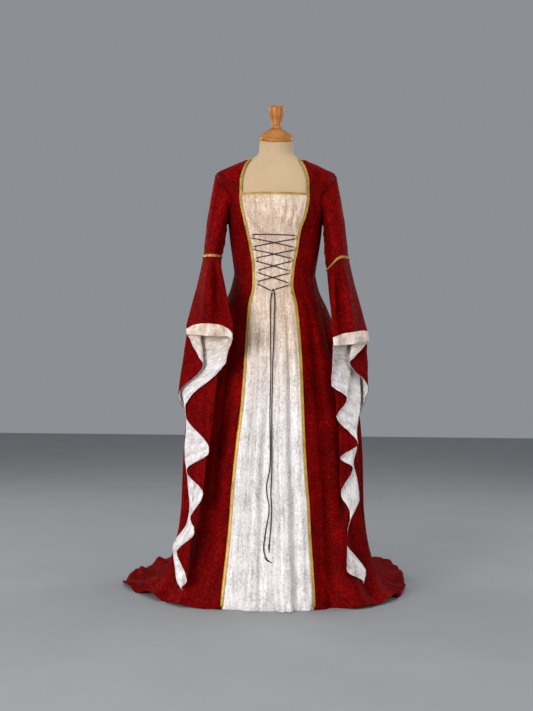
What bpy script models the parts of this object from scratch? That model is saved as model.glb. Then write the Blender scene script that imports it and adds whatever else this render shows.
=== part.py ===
# Renaissance dress with bell sleeves and train, standing on its limbless dress form.
# Metres, +Z up. The dress faces -Y, and +X is the wearer's left. The origin is on the floor,
# under the form's pole. Angles run round the pole from centre front towards +X.
import math
from collections import namedtuple

import bmesh
import bpy
from mathutils import Vector

# Driving dimensions
cloth = 0.0020            # velvet panel with its facing
sleeve_cloth = 0.0013     # outer wall of a bell sleeve
lining_cloth = 0.0010
upper_cloth = 0.0015      # fitted sleeve above the elbow
cuff_cloth = 0.0012
seam_gap = 0.0003
ease = 0.0018             # room between the form and the cloth that rests on it
braid_width = 0.0100
braid_thick = 0.0012
braid_lift = 0.0006       # from the cloth to the braid on it
neck_level = 1.398        # top edge of the red panels, at the neck
stomacher_level = 1.282   # straight top edge of the ivory panel
tip_level = 1.353         # shoulder tip
armpit_level = 1.190
knee_level = 0.280        # below this the skirt runs out along the floor
lace_radius = 0.0018
loop_major = 0.0030
loop_minor = 0.0008
top_braid_width = 0.0070  # along the ivory panel's top edge
sleeve_bulge = 0.004      # how far the fitted sleeve rounds out between armhole and elbow
loop_lift = 0.0052        # from the cloth to the middle of a lace loop
lace_lift = 0.0034        # from the cloth to the middle of the lacing
cross_lift = 0.0088       # the same where a strand crosses over another
end_lift = 0.0040         # the same for the lace's hanging ends
knot_lift = 0.0018        # how much further out the knots stand
neck_lean = math.radians(17)   # how far the neck's cut top leans to the front
lean_foot = 1.395         # level at which the neck starts to lean
cap_top = 1.500           # flat top of the neck cap, where the knob stands

Ring = namedtuple("Ring", "level half_width front back")

form_rings = [
    Ring(1.466, 0.0540, 0.0540, 0.0540),
    Ring(1.425, 0.0560, 0.0545, 0.0565),
    Ring(1.410, 0.0680, 0.0550, 0.0600),
    Ring(1.398, 0.0920, 0.0575, 0.0660),
    Ring(1.385, 0.1240, 0.0630, 0.0740),
    Ring(1.370, 0.1580, 0.0680, 0.0820),
    Ring(1.353, 0.1900, 0.0730, 0.0900),
    Ring(1.335, 0.1915, 0.0810, 0.0960),
    Ring(1.300, 0.1790, 0.0930, 0.1020),
    Ring(1.265, 0.1650, 0.1050, 0.1020),
    Ring(1.228, 0.1550, 0.1130, 0.0980),
    Ring(1.190, 0.1490, 0.1110, 0.0930),
    Ring(1.130, 0.1420, 0.0980, 0.0850),
    Ring(1.075, 0.1340, 0.0880, 0.0790),
    Ring(1.025, 0.1280, 0.0830, 0.0780),
    Ring(0.980, 0.1330, 0.0860, 0.0860),
    Ring(0.920, 0.1500, 0.0950, 0.1040),
    Ring(0.830, 0.1700, 0.1040, 0.1200),
    Ring(0.740, 0.1660, 0.0980, 0.1140),
]

# The skirt below the waist, at the bottom of its folds
skirt_rings = [
    Ring(1.025, 0.1290, 0.0840, 0.0790),
    Ring(0.980, 0.1400, 0.0900, 0.0910),
    Ring(0.920, 0.1680, 0.1010, 0.1150),
    Ring(0.840, 0.1980, 0.1180, 0.1440),
    Ring(0.740, 0.2270, 0.1380, 0.1850),
    Ring(0.640, 0.2500, 0.1570, 0.2280),
    Ring(0.540, 0.2660, 0.1750, 0.2700),
    Ring(0.420, 0.2740, 0.1950, 0.3200),
    Ring(0.280, 0.2780, 0.2140, 0.3700),
]

# Where the hem lies on the floor: distance from the pole at each angle, to the right and left
Hem = namedtuple("Hem", "angle right left")
hem_outline = [
    Hem(0, 0.282, 0.282), Hem(22, 0.284, 0.290), Hem(32, 0.284, 0.304), Hem(42, 0.300, 0.335),
    Hem(54, 0.368, 0.360), Hem(66, 0.386, 0.380), Hem(80, 0.412, 0.420), Hem(92, 0.436, 0.474),
    Hem(102, 0.456, 0.506), Hem(116, 0.500, 0.514), Hem(130, 0.600, 0.576), Hem(145, 0.664, 0.630),
    Hem(162, 0.730, 0.720), Hem(180, 0.780, 0.780),
]

# Edges of the ivory panel, as sideways distances from centre front
Edge = namedtuple("Edge", "level right left")
panel_edges = [
    Edge(1.410, 0.066, 0.071), Edge(1.398, 0.072, 0.080), Edge(1.365, 0.090, 0.100),
    Edge(1.320, 0.101, 0.110), Edge(1.268, 0.101, 0.110), Edge(1.210, 0.091, 0.100),
    Edge(1.165, 0.075, 0.089), Edge(1.100, 0.066, 0.075), Edge(1.050, 0.057, 0.068),
    Edge(0.990, 0.053, 0.066), Edge(0.920, 0.067, 0.079), Edge(0.750, 0.081, 0.088),
    Edge(0.620, 0.086, 0.095), Edge(0.495, 0.091, 0.108), Edge(0.370, 0.099, 0.119),
    Edge(0.280, 0.106, 0.124), Edge(0.000, 0.106, 0.124),
]

bodice_levels = [neck_level, 1.385, 1.370, tip_level, 1.344, 1.335, 1.320, 1.300, stomacher_level,
                 1.260, 1.232, 1.213, 1.200, armpit_level, 1.130, 1.075, 1.025]
skirt_levels = [0.980, 0.920, 0.840, 0.740, 0.640, 0.540, 0.410, knee_level]
run_levels = [0.225, 0.165, 0.105, 0.055, 0.0]

# Heights of the folds at their ridges, from one edge of a panel to the other
front_ridges = [0.008, 0.014, 0.019, 0.016]
back_ridges = [0.016, 0.020, 0.015, 0.024, 0.012]
centre_ridges = [0.008, 0.009, 0.010, 0.008]


def hermite(rows, at, column):
    """Smooth value of a column, with no overshoot, in a table whose first column is its key."""
    keys = [row[0] for row in rows]
    values = [getattr(row, column) for row in rows]
    if keys[0] > keys[-1]:
        keys.reverse()
        values.reverse()
    if at <= keys[0]:
        return values[0]
    if at >= keys[-1]:
        return values[-1]
    slopes = [(b - a) / (q - p) for a, b, p, q in zip(values, values[1:], keys, keys[1:])]
    i = max(k for k in range(len(slopes)) if keys[k] <= at)
    ends = []
    for k in (i, i + 1):
        before = slopes[max(k - 1, 0)]
        after = slopes[min(k, len(slopes) - 1)]
        ends.append(0.0 if before * after <= 0 else 2 * before * after / (before + after))
    width = keys[i + 1] - keys[i]
    t = (at - keys[i]) / width
    return ((1 + 2 * t) * (1 - t) ** 2 * values[i] + t * (1 - t) ** 2 * width * ends[0]
            + t * t * (3 - 2 * t) * values[i + 1] + t * t * (t - 1) * width * ends[1])


def mix(a, b, t):
    return a + (b - a) * t


def smoothstep(low, high, at):
    t = min(max((at - low) / (high - low), 0.0), 1.0)
    return t * t * (3 - 2 * t)


def on_ring(rings, angle, level, extra=0.0):
    """Point of an oval ring: its front half and its back half have their own depths."""
    across = hermite(rings, level, "half_width") + extra
    depth = hermite(rings, level, "front" if math.cos(angle) > 0 else "back") + extra
    return Vector((across * math.sin(angle), -depth * math.cos(angle), level))


def hem_direction(angle):
    """The angle at which a fold line that leaves the knee ring reaches the hem."""
    angle = math.remainder(angle, 2 * math.pi)
    knee = on_ring(skirt_rings, angle, knee_level)
    return (angle + math.atan2(knee.x, -knee.y)) / 2


def hem_point(angle):
    direction = hem_direction(angle)
    side = "right" if direction >= 0 else "left"
    reach = hermite(hem_outline, abs(math.degrees(direction)), side)
    return Vector((reach * math.sin(direction), -reach * math.cos(direction), 0.0))


def gown_base(angle, level):
    """The dress without its folds. Below the knee, level only counts down to 0 at the hem."""
    if level >= 1.025:
        return on_ring(form_rings, angle, level, ease)
    if level >= knee_level:
        return on_ring(skirt_rings, angle, level)
    knee = on_ring(skirt_rings, angle, knee_level)
    hem = hem_point(angle)
    run = hem - knee
    run.z = 0.0
    turn = run.normalized() * min(run.length, 0.13)
    lying = smoothstep(0.08, 0.15, run.length)
    low = knee + turn * mix(0.45, 0.12, lying)
    low.z = knee_level * mix(0.42, 0.28, lying)
    flat = knee + turn * mix(0.9, 0.4, lying)
    flat.z = knee_level * 0.3 * (1 - smoothstep(0.06, 0.16, run.length))
    t = 1 - level / knee_level
    return (knee * (1 - t) ** 3 + low * 3 * t * (1 - t) ** 2 + flat * 3 * t * t * (1 - t)
            + hem * t ** 3)


def gown_normal(angle, level):
    step = 0.004
    high = min(level + step, neck_level)
    low = max(level - step, 0.0)
    around = gown_base(angle + 0.01, level) - gown_base(angle - 0.01, level)
    down = gown_base(angle, low) - gown_base(angle, high)
    normal = down.cross(around)
    return normal.normalized()


def armhole_angle(level):
    """Half of the armhole's opening at a level, as an angle from the side of the body."""
    share = (level - armpit_level) / (tip_level - armpit_level)
    if share <= 0 or share >= 1:
        return 0.0
    return math.radians(31) * math.sin(math.pi * share) ** 0.9


def panel_edge(side, level):
    across = hermite(panel_edges, level, side)
    half_width = gown_base(math.pi / 2, max(level, knee_level)).x
    angle = math.asin(min(across / half_width, 0.98))
    return angle if side == "right" else -angle


def seam(name, level):
    """Angle of a seam at a level. A side seam follows the armhole's front or back edge."""
    if name in ("panel_right", "panel_left"):
        return panel_edge(name.split("_")[1], level)
    if name == "side_right_front":
        return math.pi / 2 - armhole_angle(level)
    if name == "side_right_back":
        return math.pi / 2 + armhole_angle(level)
    if name == "side_left_front":
        return -math.pi / 2 + armhole_angle(level)
    if name == "side_left_back":
        return -math.pi / 2 - armhole_angle(level)
    return math.pi if name == "centre_back_right" else -math.pi


Panel = namedtuple("Panel", "start end ridges columns")
panels = {
    "centre_panel": Panel("panel_left", "panel_right", centre_ridges, 8),
    "front_right": Panel("panel_right", "side_right_front", front_ridges, 6),
    "front_left": Panel("side_left_front", "panel_left", front_ridges[::-1], 6),
    "back_right": Panel("side_right_back", "centre_back_right", back_ridges, 8),
    "back_left": Panel("centre_back_left", "side_left_back", back_ridges[::-1], 8),
}


def fold_height(panel, share, level):
    """Height of the folds: ridges stand at even shares of a panel, with soft troughs between."""
    waves = len(panel.ridges) - 1
    place = min(share, 0.9999) * waves
    wave = int(place)
    t = place - wave
    ridge = mix(panel.ridges[wave], panel.ridges[wave + 1], t)
    return ridge * (0.5 + 0.5 * math.cos(2 * math.pi * t)) * (1 - smoothstep(0.55, 0.98, level))


def panel_angle(panel, share, level):
    return mix(seam(panel.start, level), seam(panel.end, level), share)


def panel_point(panel, share, level, lift=0.0):
    angle = panel_angle(panel, share, level)
    normal = gown_normal(angle, level)
    point = gown_base(angle, level) + normal * (fold_height(panel, share, level) + lift)
    point.z = max(point.z, 0.0)
    return point


def new_object(name, mesh_or_curve, material):
    item = bpy.data.objects.new(name, mesh_or_curve)
    item.data.materials.append(material)
    dress.objects.link(item)
    return item


def grid_object(name, rows, material, closed=False, thickness=cloth, offset=1.0):
    """A wall on rows of points, top to bottom, seen from outside with x to the right."""
    shape = bmesh.new()
    verts = [[shape.verts.new(point) for point in row] for row in rows]
    count = len(rows[0])
    for upper, lower in zip(verts, verts[1:]):
        for i in range(count if closed else count - 1):
            j = (i + 1) % count
            shape.faces.new((upper[i], lower[i], lower[j], upper[j]))
    bmesh.ops.triangulate(shape, faces=shape.faces[:], quad_method="SHORT_EDGE")
    mesh = bpy.data.meshes.new(name)
    shape.to_mesh(mesh)
    shape.free()
    wall = new_object(name, mesh, material)
    solidify = wall.modifiers.new("Wall", "SOLIDIFY")
    solidify.thickness = thickness
    solidify.offset = offset
    mesh.shade_smooth()
    return wall


def outside(thickness, start):
    """Solidify offset for a wall that begins a distance outside its surface."""
    return 1 + 2 * start / thickness


def closed_loft(name, rings, material):
    """A solid through rings of points, top ring first, with both ends filled."""
    shape = bmesh.new()
    verts = [[shape.verts.new(point) for point in ring] for ring in rings]
    count = len(rings[0])
    for upper, lower in zip(verts, verts[1:]):
        for i in range(count):
            j = (i + 1) % count
            shape.faces.new((upper[i], lower[i], lower[j], upper[j]))
    shape.faces.new(verts[0])
    shape.faces.new(verts[-1][::-1])
    mesh = bpy.data.meshes.new(name)
    shape.to_mesh(mesh)
    shape.free()
    solid = new_object(name, mesh, material)
    mesh.shade_smooth()
    mesh.set_sharp_from_angle(angle=math.radians(60))
    return solid


def turned(name, profile, material, steps=20):
    """A turned piece: its profile of (radius, height) runs down its outer side."""
    mesh = bpy.data.meshes.new(name)
    points = [(radius, 0.0, height) for radius, height in profile]
    mesh.from_pydata(points, [(i, i + 1) for i in range(len(points) - 1)], [])
    piece = new_object(name, mesh, material)
    screw = piece.modifiers.new("Turn", "SCREW")
    screw.steps = steps
    screw.render_steps = steps
    screw.use_merge_vertices = True
    screw.merge_threshold = 0.0001
    return piece


def smooth_route(points, count):
    """Points at even steps along a smooth curve through a route."""
    route = [Vector(point) for point in points]
    route = [2 * route[0] - route[1]] + route + [2 * route[-1] - route[-2]]
    fine = []
    for a, b, c, d in zip(route, route[1:], route[2:], route[3:]):
        for k in range(12):
            t = k / 12
            fine.append((2 * b + (c - a) * t + (2 * a - 5 * b + 4 * c - d) * t * t
                         + (3 * b - a - 3 * c + d) * t ** 3) / 2)
    fine.append(route[-2])
    lengths = [0.0]
    for a, b in zip(fine, fine[1:]):
        lengths.append(lengths[-1] + (b - a).length)
    even = []
    k = 0
    for i in range(count):
        goal = lengths[-1] * i / (count - 1)
        while k < len(fine) - 2 and lengths[k + 1] < goal:
            k += 1
        share = (goal - lengths[k]) / max(lengths[k + 1] - lengths[k], 1e-9)
        even.append(fine[k].lerp(fine[k + 1], min(share, 1.0)))
    return even


def tube(name, points, radius, material, swells=None):
    curve = bpy.data.curves.new(name, "CURVE")
    curve.dimensions = "3D"
    curve.bevel_depth = radius
    curve.bevel_resolution = 2
    curve.use_fill_caps = True
    spline = curve.splines.new("POLY")
    spline.points.add(len(points) - 1)
    for i, point in enumerate(points):
        spline.points[i].co = (*point, 1.0)
        spline.points[i].radius = swells[i] if swells else 1.0
    return new_object(name, curve, material)


def make_material(name, colour, roughness, metallic=0.0):
    material = bpy.data.materials.new(name)
    material.use_nodes = True
    shader = material.node_tree.nodes["Principled BSDF"]
    shader.inputs["Base Color"].default_value = (*colour, 1.0)
    shader.inputs["Roughness"].default_value = roughness
    shader.inputs["Metallic"].default_value = metallic
    return material


# Neck cap from its flat top down: radius, height above the neck's middle, share of the neck's lean
cap_rings = [(0.0235, None, 0.0), (0.0345, 0.0265, 0.18), (0.0430, 0.0215, 0.35), (0.0510, 0.0160, 0.65),
             (0.0562, 0.0100, 0.95), (0.0572, 0.0045, 1.0), (0.0542, 0.0, 1.0)]

# Knob from its top down: radius and height above its foot
knob_profile = [(0.0, 0.0803), (0.0120, 0.0801), (0.0238, 0.0768), (0.0260, 0.0680), (0.0228, 0.0500),
                (0.0183, 0.0320), (0.0156, 0.0170), (0.0170, 0.0070), (0.0200, 0.0015), (0.0196, 0.0),
                (0.0, 0.0)]


def build_form():
    """The dress form: torso, neck cap and knob, pole and round base."""
    around = 26
    rings = []
    for row in form_rings:
        slope = math.tan(neck_lean * smoothstep(lean_foot, form_rings[0].level, row.level))
        ring = [on_ring(form_rings, 2 * math.pi * i / around, row.level) for i in range(around)]
        rings.append([point + Vector((0.0, 0.0, point.y * slope)) for point in ring])
    closed_loft("form_torso", rings, linen)

    neck = form_rings[0].level + seam_gap / math.cos(neck_lean)
    rings = []
    for radius, height, share in cap_rings:
        middle = cap_top if height is None else neck + height
        slope = math.tan(neck_lean * share)
        ring = [(radius * math.sin(2 * math.pi * i / around), -radius * math.cos(2 * math.pi * i / around))
                for i in range(around)]
        rings.append([(x, y, middle + y * slope) for x, y in ring])
    closed_loft("form_neck_cap", rings, wood)
    foot = cap_top + seam_gap
    turned("form_knob", [(radius, foot + height) for radius, height in knob_profile], wood, steps=16)
    base_top = 0.014
    torso_bottom = form_rings[-1].level
    turned("form_pole", [(0.0, torso_bottom - seam_gap), (0.0140, torso_bottom - seam_gap),
                         (0.0140, base_top + seam_gap), (0.0, base_top + seam_gap)], steel, steps=12)
    turned("form_base", [(0.0, base_top), (0.150, base_top), (0.160, base_top - 0.004),
                         (0.160, 0.0), (0.0, 0.0)], steel, steps=28)


def build_panels():
    """Centre panel, two fronts and two backs, each one piece from its top edge to the hem."""
    for name, panel in panels.items():
        ivory_piece = name == "centre_panel"
        top = stomacher_level if ivory_piece else neck_level
        levels = [v for v in bodice_levels + skirt_levels + run_levels if v <= top]
        rows = []
        for level in levels:
            width = abs(seam(panel.end, level) - seam(panel.start, level))
            inset = seam_gap / 2 / (width * ring_radius(level))
            shares = [inset + (1 - 2 * inset) * i / panel.columns for i in range(panel.columns + 1)]
            rows.append([panel_point(panel, share, level) for share in shares])
        grid_object(name, rows, ivory if ivory_piece else red)


def ring_radius(level):
    """Smallest radius that a panel's edge has at a level, for turning a gap into an angle."""
    return hermite(form_rings if level > 1.025 else skirt_rings, max(level, knee_level), "front")


# One row for each place where a bell sleeve's wall turns, round the sleeve from its outer
# front corner. `ring` is the angle on the elbow ring, `slot` the layer's place from back to
# front, `cuff` and `hem` its distance from the pole sideways at cuff level and at the hem.
Turn = namedtuple("Turn", "name ring slot cuff hem hem_level")

bell_right = [
    Turn("outer_corner", 46, 14.0, 0.290, 0.292, 0.816),
    Turn("inner_corner", -50, 14.2, 0.176, 0.179, 0.800),
    Turn("inner_edge", -64, 9.3, 0.181, 0.174, 0.681),
    Turn("fall_1", -74, 8.40, 0.250, 0.224, 0.635),
    Turn("fall_2", -84, 7.45, 0.190, 0.195, 0.580),
    Turn("fall_3", -94, 6.50, 0.258, 0.262, 0.497),
    Turn("fall_4", -104, 5.55, 0.196, 0.204, 0.455),
    Turn("fall_5", -114, 4.60, 0.248, 0.245, 0.425),
    Turn("fall_6", -124, 3.65, 0.200, 0.208, 0.330),
    Turn("fall_7", -134, 2.70, 0.246, 0.240, 0.260),
    Turn("fall_8", -143, 1.75, 0.212, 0.220, 0.180),
    Turn("tail_tip", -160, 1.05, 0.248, 0.268, 0.085),
    Turn("back_edge", -188, 0.00, 0.272, 0.284, 0.200),
    Turn("flap_back", -224, 0.90, 0.289, 0.298, 0.560),
    Turn("flap_side", -262, 10.4, 0.286, 0.2925, 0.671),
    Turn("flap_tip", -296, 11.4, 0.246, 0.232, 0.748),
]

bell_left = [
    Turn("outer_corner", 46, 14.0, 0.274, 0.271, 0.822),
    Turn("inner_corner", -50, 14.2, 0.128, 0.127, 0.816),
    Turn("inner_edge", -68, 9.3, 0.137, 0.146, 0.770),
    Turn("fall_1", -79, 8.40, 0.246, 0.272, 0.585),
    Turn("fall_2", -90, 7.30, 0.158, 0.196, 0.470),
    Turn("fall_3", -102, 6.20, 0.244, 0.262, 0.409),
    Turn("fall_4", -114, 5.10, 0.170, 0.212, 0.352),
    Turn("fall_5", -127, 4.00, 0.236, 0.290, 0.190),
    Turn("fall_6", -140, 2.90, 0.192, 0.250, 0.102),
    Turn("tail_tip", -155, 1.90, 0.238, 0.265, 0.066),
    Turn("back_edge", -182, 0.80, 0.254, 0.276, 0.178),
    Turn("flap_back", -224, 1.70, 0.268, 0.284, 0.550),
    Turn("flap_side", -262, 10.4, 0.270, 0.297, 0.6435),
    Turn("flap_tip", -296, 11.4, 0.232, 0.218, 0.737),
]

slot_depth = 0.0075       # one layer of the sleeve's fall to the next
flank = math.radians(30)  # the way the skirt's flank faces, where the sleeves lie on it
elbow_level = 1.080

# Edges and middle of the elbow braid: how far below the elbow, and how far outside it
elbow_braid_rows = [(-braid_width / 2, 0.0038), (0.0, 0.0030), (braid_width / 2, 0.0078)]

# Distance of the fall's rearmost layer from the pole, along the way the flank faces
Rest = namedtuple("Rest", "level reach")
tail_rest = [Rest(1.080, 0.118), Rest(0.840, 0.166), Rest(0.060, 0.333)]

# Middle and half sizes of the oval at each elbow, how far its inner side drops, and cuff level
Elbow = namedtuple("Elbow", "out forward half_width half_depth drop cuff_level")
elbows = {
    "right": Elbow(0.2010, 0.050, 0.0335, 0.054, 0.034, 0.840),
    "left": Elbow(0.2010, 0.050, 0.0275, 0.056, 0.0, 0.856),
}
drop_inner = 0.150        # distances from the pole sideways between which an elbow drops
drop_outer = 0.232
bells = {"right": bell_right, "left": bell_left}
sides = {"right": 1, "left": -1}

front_wall = [0.16, 0.34, 0.5, 0.66, 0.84]     # columns across the front of a bell
front_relief = [0.60, 1.10, -1.40, -1.00, 0.70]   # ridges and the valley between, in slots
fold_share = 0.14                              # part of a layer's columns that is its turn
fold_columns = [0.0, fold_share, 1 - fold_share]
ring_shares = [0.0, 0.20, 0.80]                # where these columns start at the elbow
fall_start = -60                               # elbow angles between which the fall hangs in folds
fall_end = -160
fold_onset = 1.5                               # how slowly these folds open below the elbow
upper_rows = 4
lower_rows = 2
lining_row = 3                                 # the lining shows only below this row


def elbow_point(side, ring, drop=0.0):
    """Point of the oval at the elbow: ring 0 is its front, positive towards the outer side."""
    elbow = elbows[side]
    angle = math.radians(ring)
    out = elbow.out + elbow.half_width * math.sin(angle)
    level = elbow_level - elbow.drop * (1 - smoothstep(drop_inner, drop_outer, out))
    return Vector((out, -elbow.forward - elbow.half_depth * math.cos(angle), level - drop))


def flank_reach(point):
    """Distance from the pole along the way that the skirt's flank faces."""
    return point.x * math.sin(flank) - point.y * math.cos(flank)


def fall_reach(slot, level):
    return hermite(tail_rest, level, "reach") + slot * slot_depth


def flank_point(out, reach, level):
    return Vector((out, out * math.tan(flank) - reach / math.cos(flank), level))


def hairpin(t, width, depth):
    """Shares of a layer's width and depth at t: it leaves and meets its folds in round turns."""
    if t > 0.5:
        return [1 - share for share in hairpin(1 - t, width, depth)]
    turn = min(t / fold_share, 1.0) * math.pi / 2
    bend = 0.45 * abs(depth)
    reach = min(bend, 0.3 * abs(width)) / max(abs(width), 1e-6)
    straight = max(t - fold_share, 0.0) / (0.5 - fold_share)
    return [mix(reach * (1 - math.cos(turn)), 0.5, straight), mix(0.45 * math.sin(turn), 0.5, straight)]


def bell_columns(side):
    """Every column of a bell: its elbow angle, slot, sideways places and hem level."""
    turns = bells[side]
    columns = []
    for i, turn in enumerate(turns):
        last = i == len(turns) - 1
        after = turns[0]._replace(ring=turns[0].ring - 360) if last else turns[i + 1]
        shares = [0.0] + front_wall if i == 0 else fold_columns
        for k, t in enumerate(shares):
            across, along = t, t
            width = after.cuff - turn.cuff
            depth = (after.slot - turn.slot) * slot_depth
            if i and abs(depth) < abs(width):
                across, along = hairpin(t, width, depth)
            elif i:
                across, along = k / len(shares), k / len(shares)
            relief = front_relief[k - 1] if i == 0 and k else 0.0
            ring = mix(turn.ring, after.ring, ring_shares[k] if i else t)
            columns.append(Turn("column", ring,
                                mix(turn.slot, after.slot, along) + relief,
                                mix(turn.cuff, after.cuff, across), mix(turn.hem, after.hem, across),
                                mix(turn.hem_level, after.hem_level, across)))
    return columns


def bell_point(side, column, row):
    """Point of a bell sleeve: row 0 is the elbow, `upper_rows` cuff level, and the last the hem."""
    cuff_level = elbows[side].cuff_level
    if row <= upper_rows:
        top = elbow_point(side, column.ring)
        t = row / upper_rows
        folded = t ** fold_onset if fall_start > column.ring > fall_end else t
        reach = mix(flank_reach(top), fall_reach(column.slot, cuff_level), t)
        point = flank_point(mix(top.x, column.cuff, folded), reach, mix(top.z, cuff_level, t))
    else:
        t = (row - upper_rows) / lower_rows
        level = mix(cuff_level, column.hem_level, t)
        point = flank_point(mix(column.cuff, column.hem, t), fall_reach(column.slot, level), level)
    point.x *= sides[side]
    return point


def armhole_ring():
    """Level and opening round an armhole, from the shoulder tip down its front and up its back."""
    levels = [level for level in bodice_levels if armpit_level < level < tip_level]
    front = [(level, -armhole_angle(level)) for level in levels]
    back = [(level, -opening) for level, opening in front[::-1]]
    return [(tip_level, 0.0)] + front + [(armpit_level, 0.0)] + back


def build_upper_sleeves():
    """Fitted sleeves from the armhole to just above the elbow, and the braid round each elbow."""
    rows_down = 4
    middle = (tip_level + armpit_level) / 2
    shrink = 1 - (upper_cloth + 0.0010) / (tip_level - middle)
    for side, sign in sides.items():
        columns = []
        braid_rows = [[], [], []]
        for level, opening in armhole_ring():
            place = math.acos(min(max((level - middle) / (tip_level - middle), -1.0), 1.0))
            if opening > 0:
                place = -place
            start = gown_base(math.pi / 2 + opening * shrink, mix(middle, level, shrink))
            start.x *= sign
            ring = math.pi / 2 - place
            end = elbow_point(side, math.degrees(ring))
            end.x *= sign
            end.z += 4 * seam_gap
            low = 0.5 - 0.5 * math.cos(place)
            clear = start + Vector((sign * mix(0.003, 0.009, low), 0.0, 0.0))
            way = Vector((sign * math.sin(ring), -math.cos(ring), 0.0))
            column = [start]
            for row in range(rows_down):
                t = row / (rows_down - 1)
                column.append(clear.lerp(end, t) + way * 4 * t * (1 - t) * sleeve_bulge)
            columns.append(column)
            elbow = elbows[side]
            way = Vector((sign * math.sin(ring) / elbow.half_width, -math.cos(ring) / elbow.half_depth, 0))
            for row, (drop, out) in enumerate(elbow_braid_rows):
                point = elbow_point(side, math.degrees(ring), drop)
                point.x *= sign
                braid_rows[row].append(point + way.normalized() * out)
        if sign > 0:
            columns.reverse()
            for row in braid_rows:
                row.reverse()
        rows = [[column[row] for column in columns] for row in range(rows_down + 1)]
        grid_object("sleeve_upper_" + side, rows, red, closed=True, thickness=upper_cloth)
        grid_object("braid_elbow_" + side, braid_rows, gold, closed=True, thickness=braid_thick)


def build_bells():
    """Bell sleeves with their ivory lining, and the cuff turned up over each front."""
    for side, sign in sides.items():
        columns = bell_columns(side)
        cuff_columns = columns[:len(front_wall) + 2]
        if sign > 0:
            columns.reverse()
            cuff_columns.reverse()
        last = upper_rows + lower_rows
        rows = [[bell_point(side, column, row) for column in columns] for row in range(last + 1)]
        grid_object("bell_" + side, rows, red, closed=True, thickness=sleeve_cloth,
                    offset=outside(sleeve_cloth, seam_gap / 2))
        grid_object("bell_lining_" + side, rows[lining_row:], ivory, closed=True,
                    thickness=lining_cloth, offset=-outside(lining_cloth, seam_gap))
        rows = [[bell_point(side, column, row) for column in cuff_columns]
                for row in range(upper_rows, last + 1)]
        grid_object("cuff_" + side, rows, ivory, thickness=cuff_cloth,
                    offset=outside(cuff_cloth, sleeve_cloth + 2 * seam_gap))


def share_step(panel, edge, level, distance):
    """Share of a panel's width that a distance from its edge takes up at a level."""
    near = 0.1 if edge == 0 else 0.9
    return 0.1 * distance / (panel_point(panel, near, level) - panel_point(panel, edge, level)).length


def trimmed_shares(count, low, high):
    """Shares of a panel's columns between two places, and those places themselves."""
    inside = [i / count for i in range(count + 1) if low + 0.04 < i / count < high - 0.04]
    return [low] + inside + [high]


def build_braids():
    """Braid on both front seams, round the back of the neck and along the ivory panel's top."""
    centre = panels["centre_panel"]
    levels = bodice_levels + skirt_levels + run_levels
    for side, sign in sides.items():
        front = panels["front_" + side]
        inner, outer = (1, 0) if sign > 0 else (0, 1)
        rows = []
        for level in levels:
            lift = cloth + braid_lift * (1 if level > run_levels[0] else 3)
            inner_share = inner - sign * share_step(centre, inner, level, braid_width / 2)
            outer_share = outer + sign * share_step(front, outer, level, braid_width / 2)
            row = [panel_point(centre, inner_share, level, lift), panel_point(front, outer, level, lift),
                   panel_point(front, outer_share, level, lift)]
            rows.append(row if sign > 0 else row[::-1])
        rows[-1] = [above.lerp(below, 0.75) for above, below in zip(rows[-2], rows[-1])]
        grid_object("braid_front_" + side, rows, gold, thickness=braid_thick)

    lift = cloth + braid_lift
    clear = braid_width / 2 + 0.0012
    rows = [[], []]
    for name in ("front_right", "back_right", "back_left", "front_left"):
        panel = panels[name]
        low = share_step(panel, 0, neck_level, clear) if name == "front_right" else 0.0
        high = 1 - share_step(panel, 1, neck_level, clear) if name == "front_left" else 1.0
        shares = trimmed_shares(panel.columns, low, high)
        for share in shares if name == "front_left" else shares[:-1]:
            top = panel_point(panel, share, neck_level, lift)
            below = panel_point(panel, share, bodice_levels[1], lift)
            rows[0].append(top)
            rows[1].append(top + (below - top).normalized() * min(braid_width, (below - top).length))
    grid_object("braid_neck_back", rows, gold, thickness=braid_thick)

    rows = [[], []]
    next_level = bodice_levels[bodice_levels.index(stomacher_level) + 1]
    low = share_step(centre, 0, stomacher_level, clear)
    high = 1 - share_step(centre, 1, stomacher_level, clear)
    for share in trimmed_shares(centre.columns, low, high):
        top = panel_point(centre, share, stomacher_level, lift)
        below = panel_point(centre, share, next_level, lift)
        rows[0].append(top)
        rows[1].append(top.lerp(below, top_braid_width / (stomacher_level - next_level)))
    grid_object("braid_panel_top", rows, gold, thickness=braid_thick)


# Places of the lace loops, from the top down: sideways distance and height
left_loops = [(-0.0730, 1.1416), (-0.0674, 1.1057), (-0.0598, 1.0699), (-0.0522, 1.0322),
              (-0.0537, 0.9961)]
right_loops = [(0.0608, 1.1399), (0.0562, 1.1052), (0.0498, 1.0701), (0.0415, 1.0316),
               (0.0407, 0.9930)]
tie_ends = [(-0.0098, 0.9708), (-0.0024, 0.9748)]

# Routes of the hanging ends, from the tie down
left_end_route = [(-0.0100, 0.9660), (-0.0122, 0.9500), (-0.0131, 0.9250), (-0.0126, 0.8300),
                  (-0.0105, 0.7240), (-0.0120, 0.5850), (-0.0095, 0.4360), (-0.0202, 0.3615),
                  (-0.0115, 0.2960), (-0.0220, 0.2300), (-0.0274, 0.1830), (-0.0225, 0.1590)]
right_end_route = [(-0.0030, 0.9700), (-0.0008, 0.9500), (-0.0002, 0.9250), (-0.0020, 0.8300),
                   (-0.0050, 0.7240), (-0.0062, 0.5850), (-0.0042, 0.4360), (-0.0065, 0.3440),
                   (-0.0040, 0.2960), (-0.0060, 0.2400), (-0.0100, 0.1960)]
left_knot_route = [(-0.0160, 0.1475), (-0.0090, 0.1436), (-0.0012, 0.1404)]
right_knot_route = [(-0.0108, 0.1840), (-0.0104, 0.1768), (-0.0100, 0.1696)]


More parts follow.
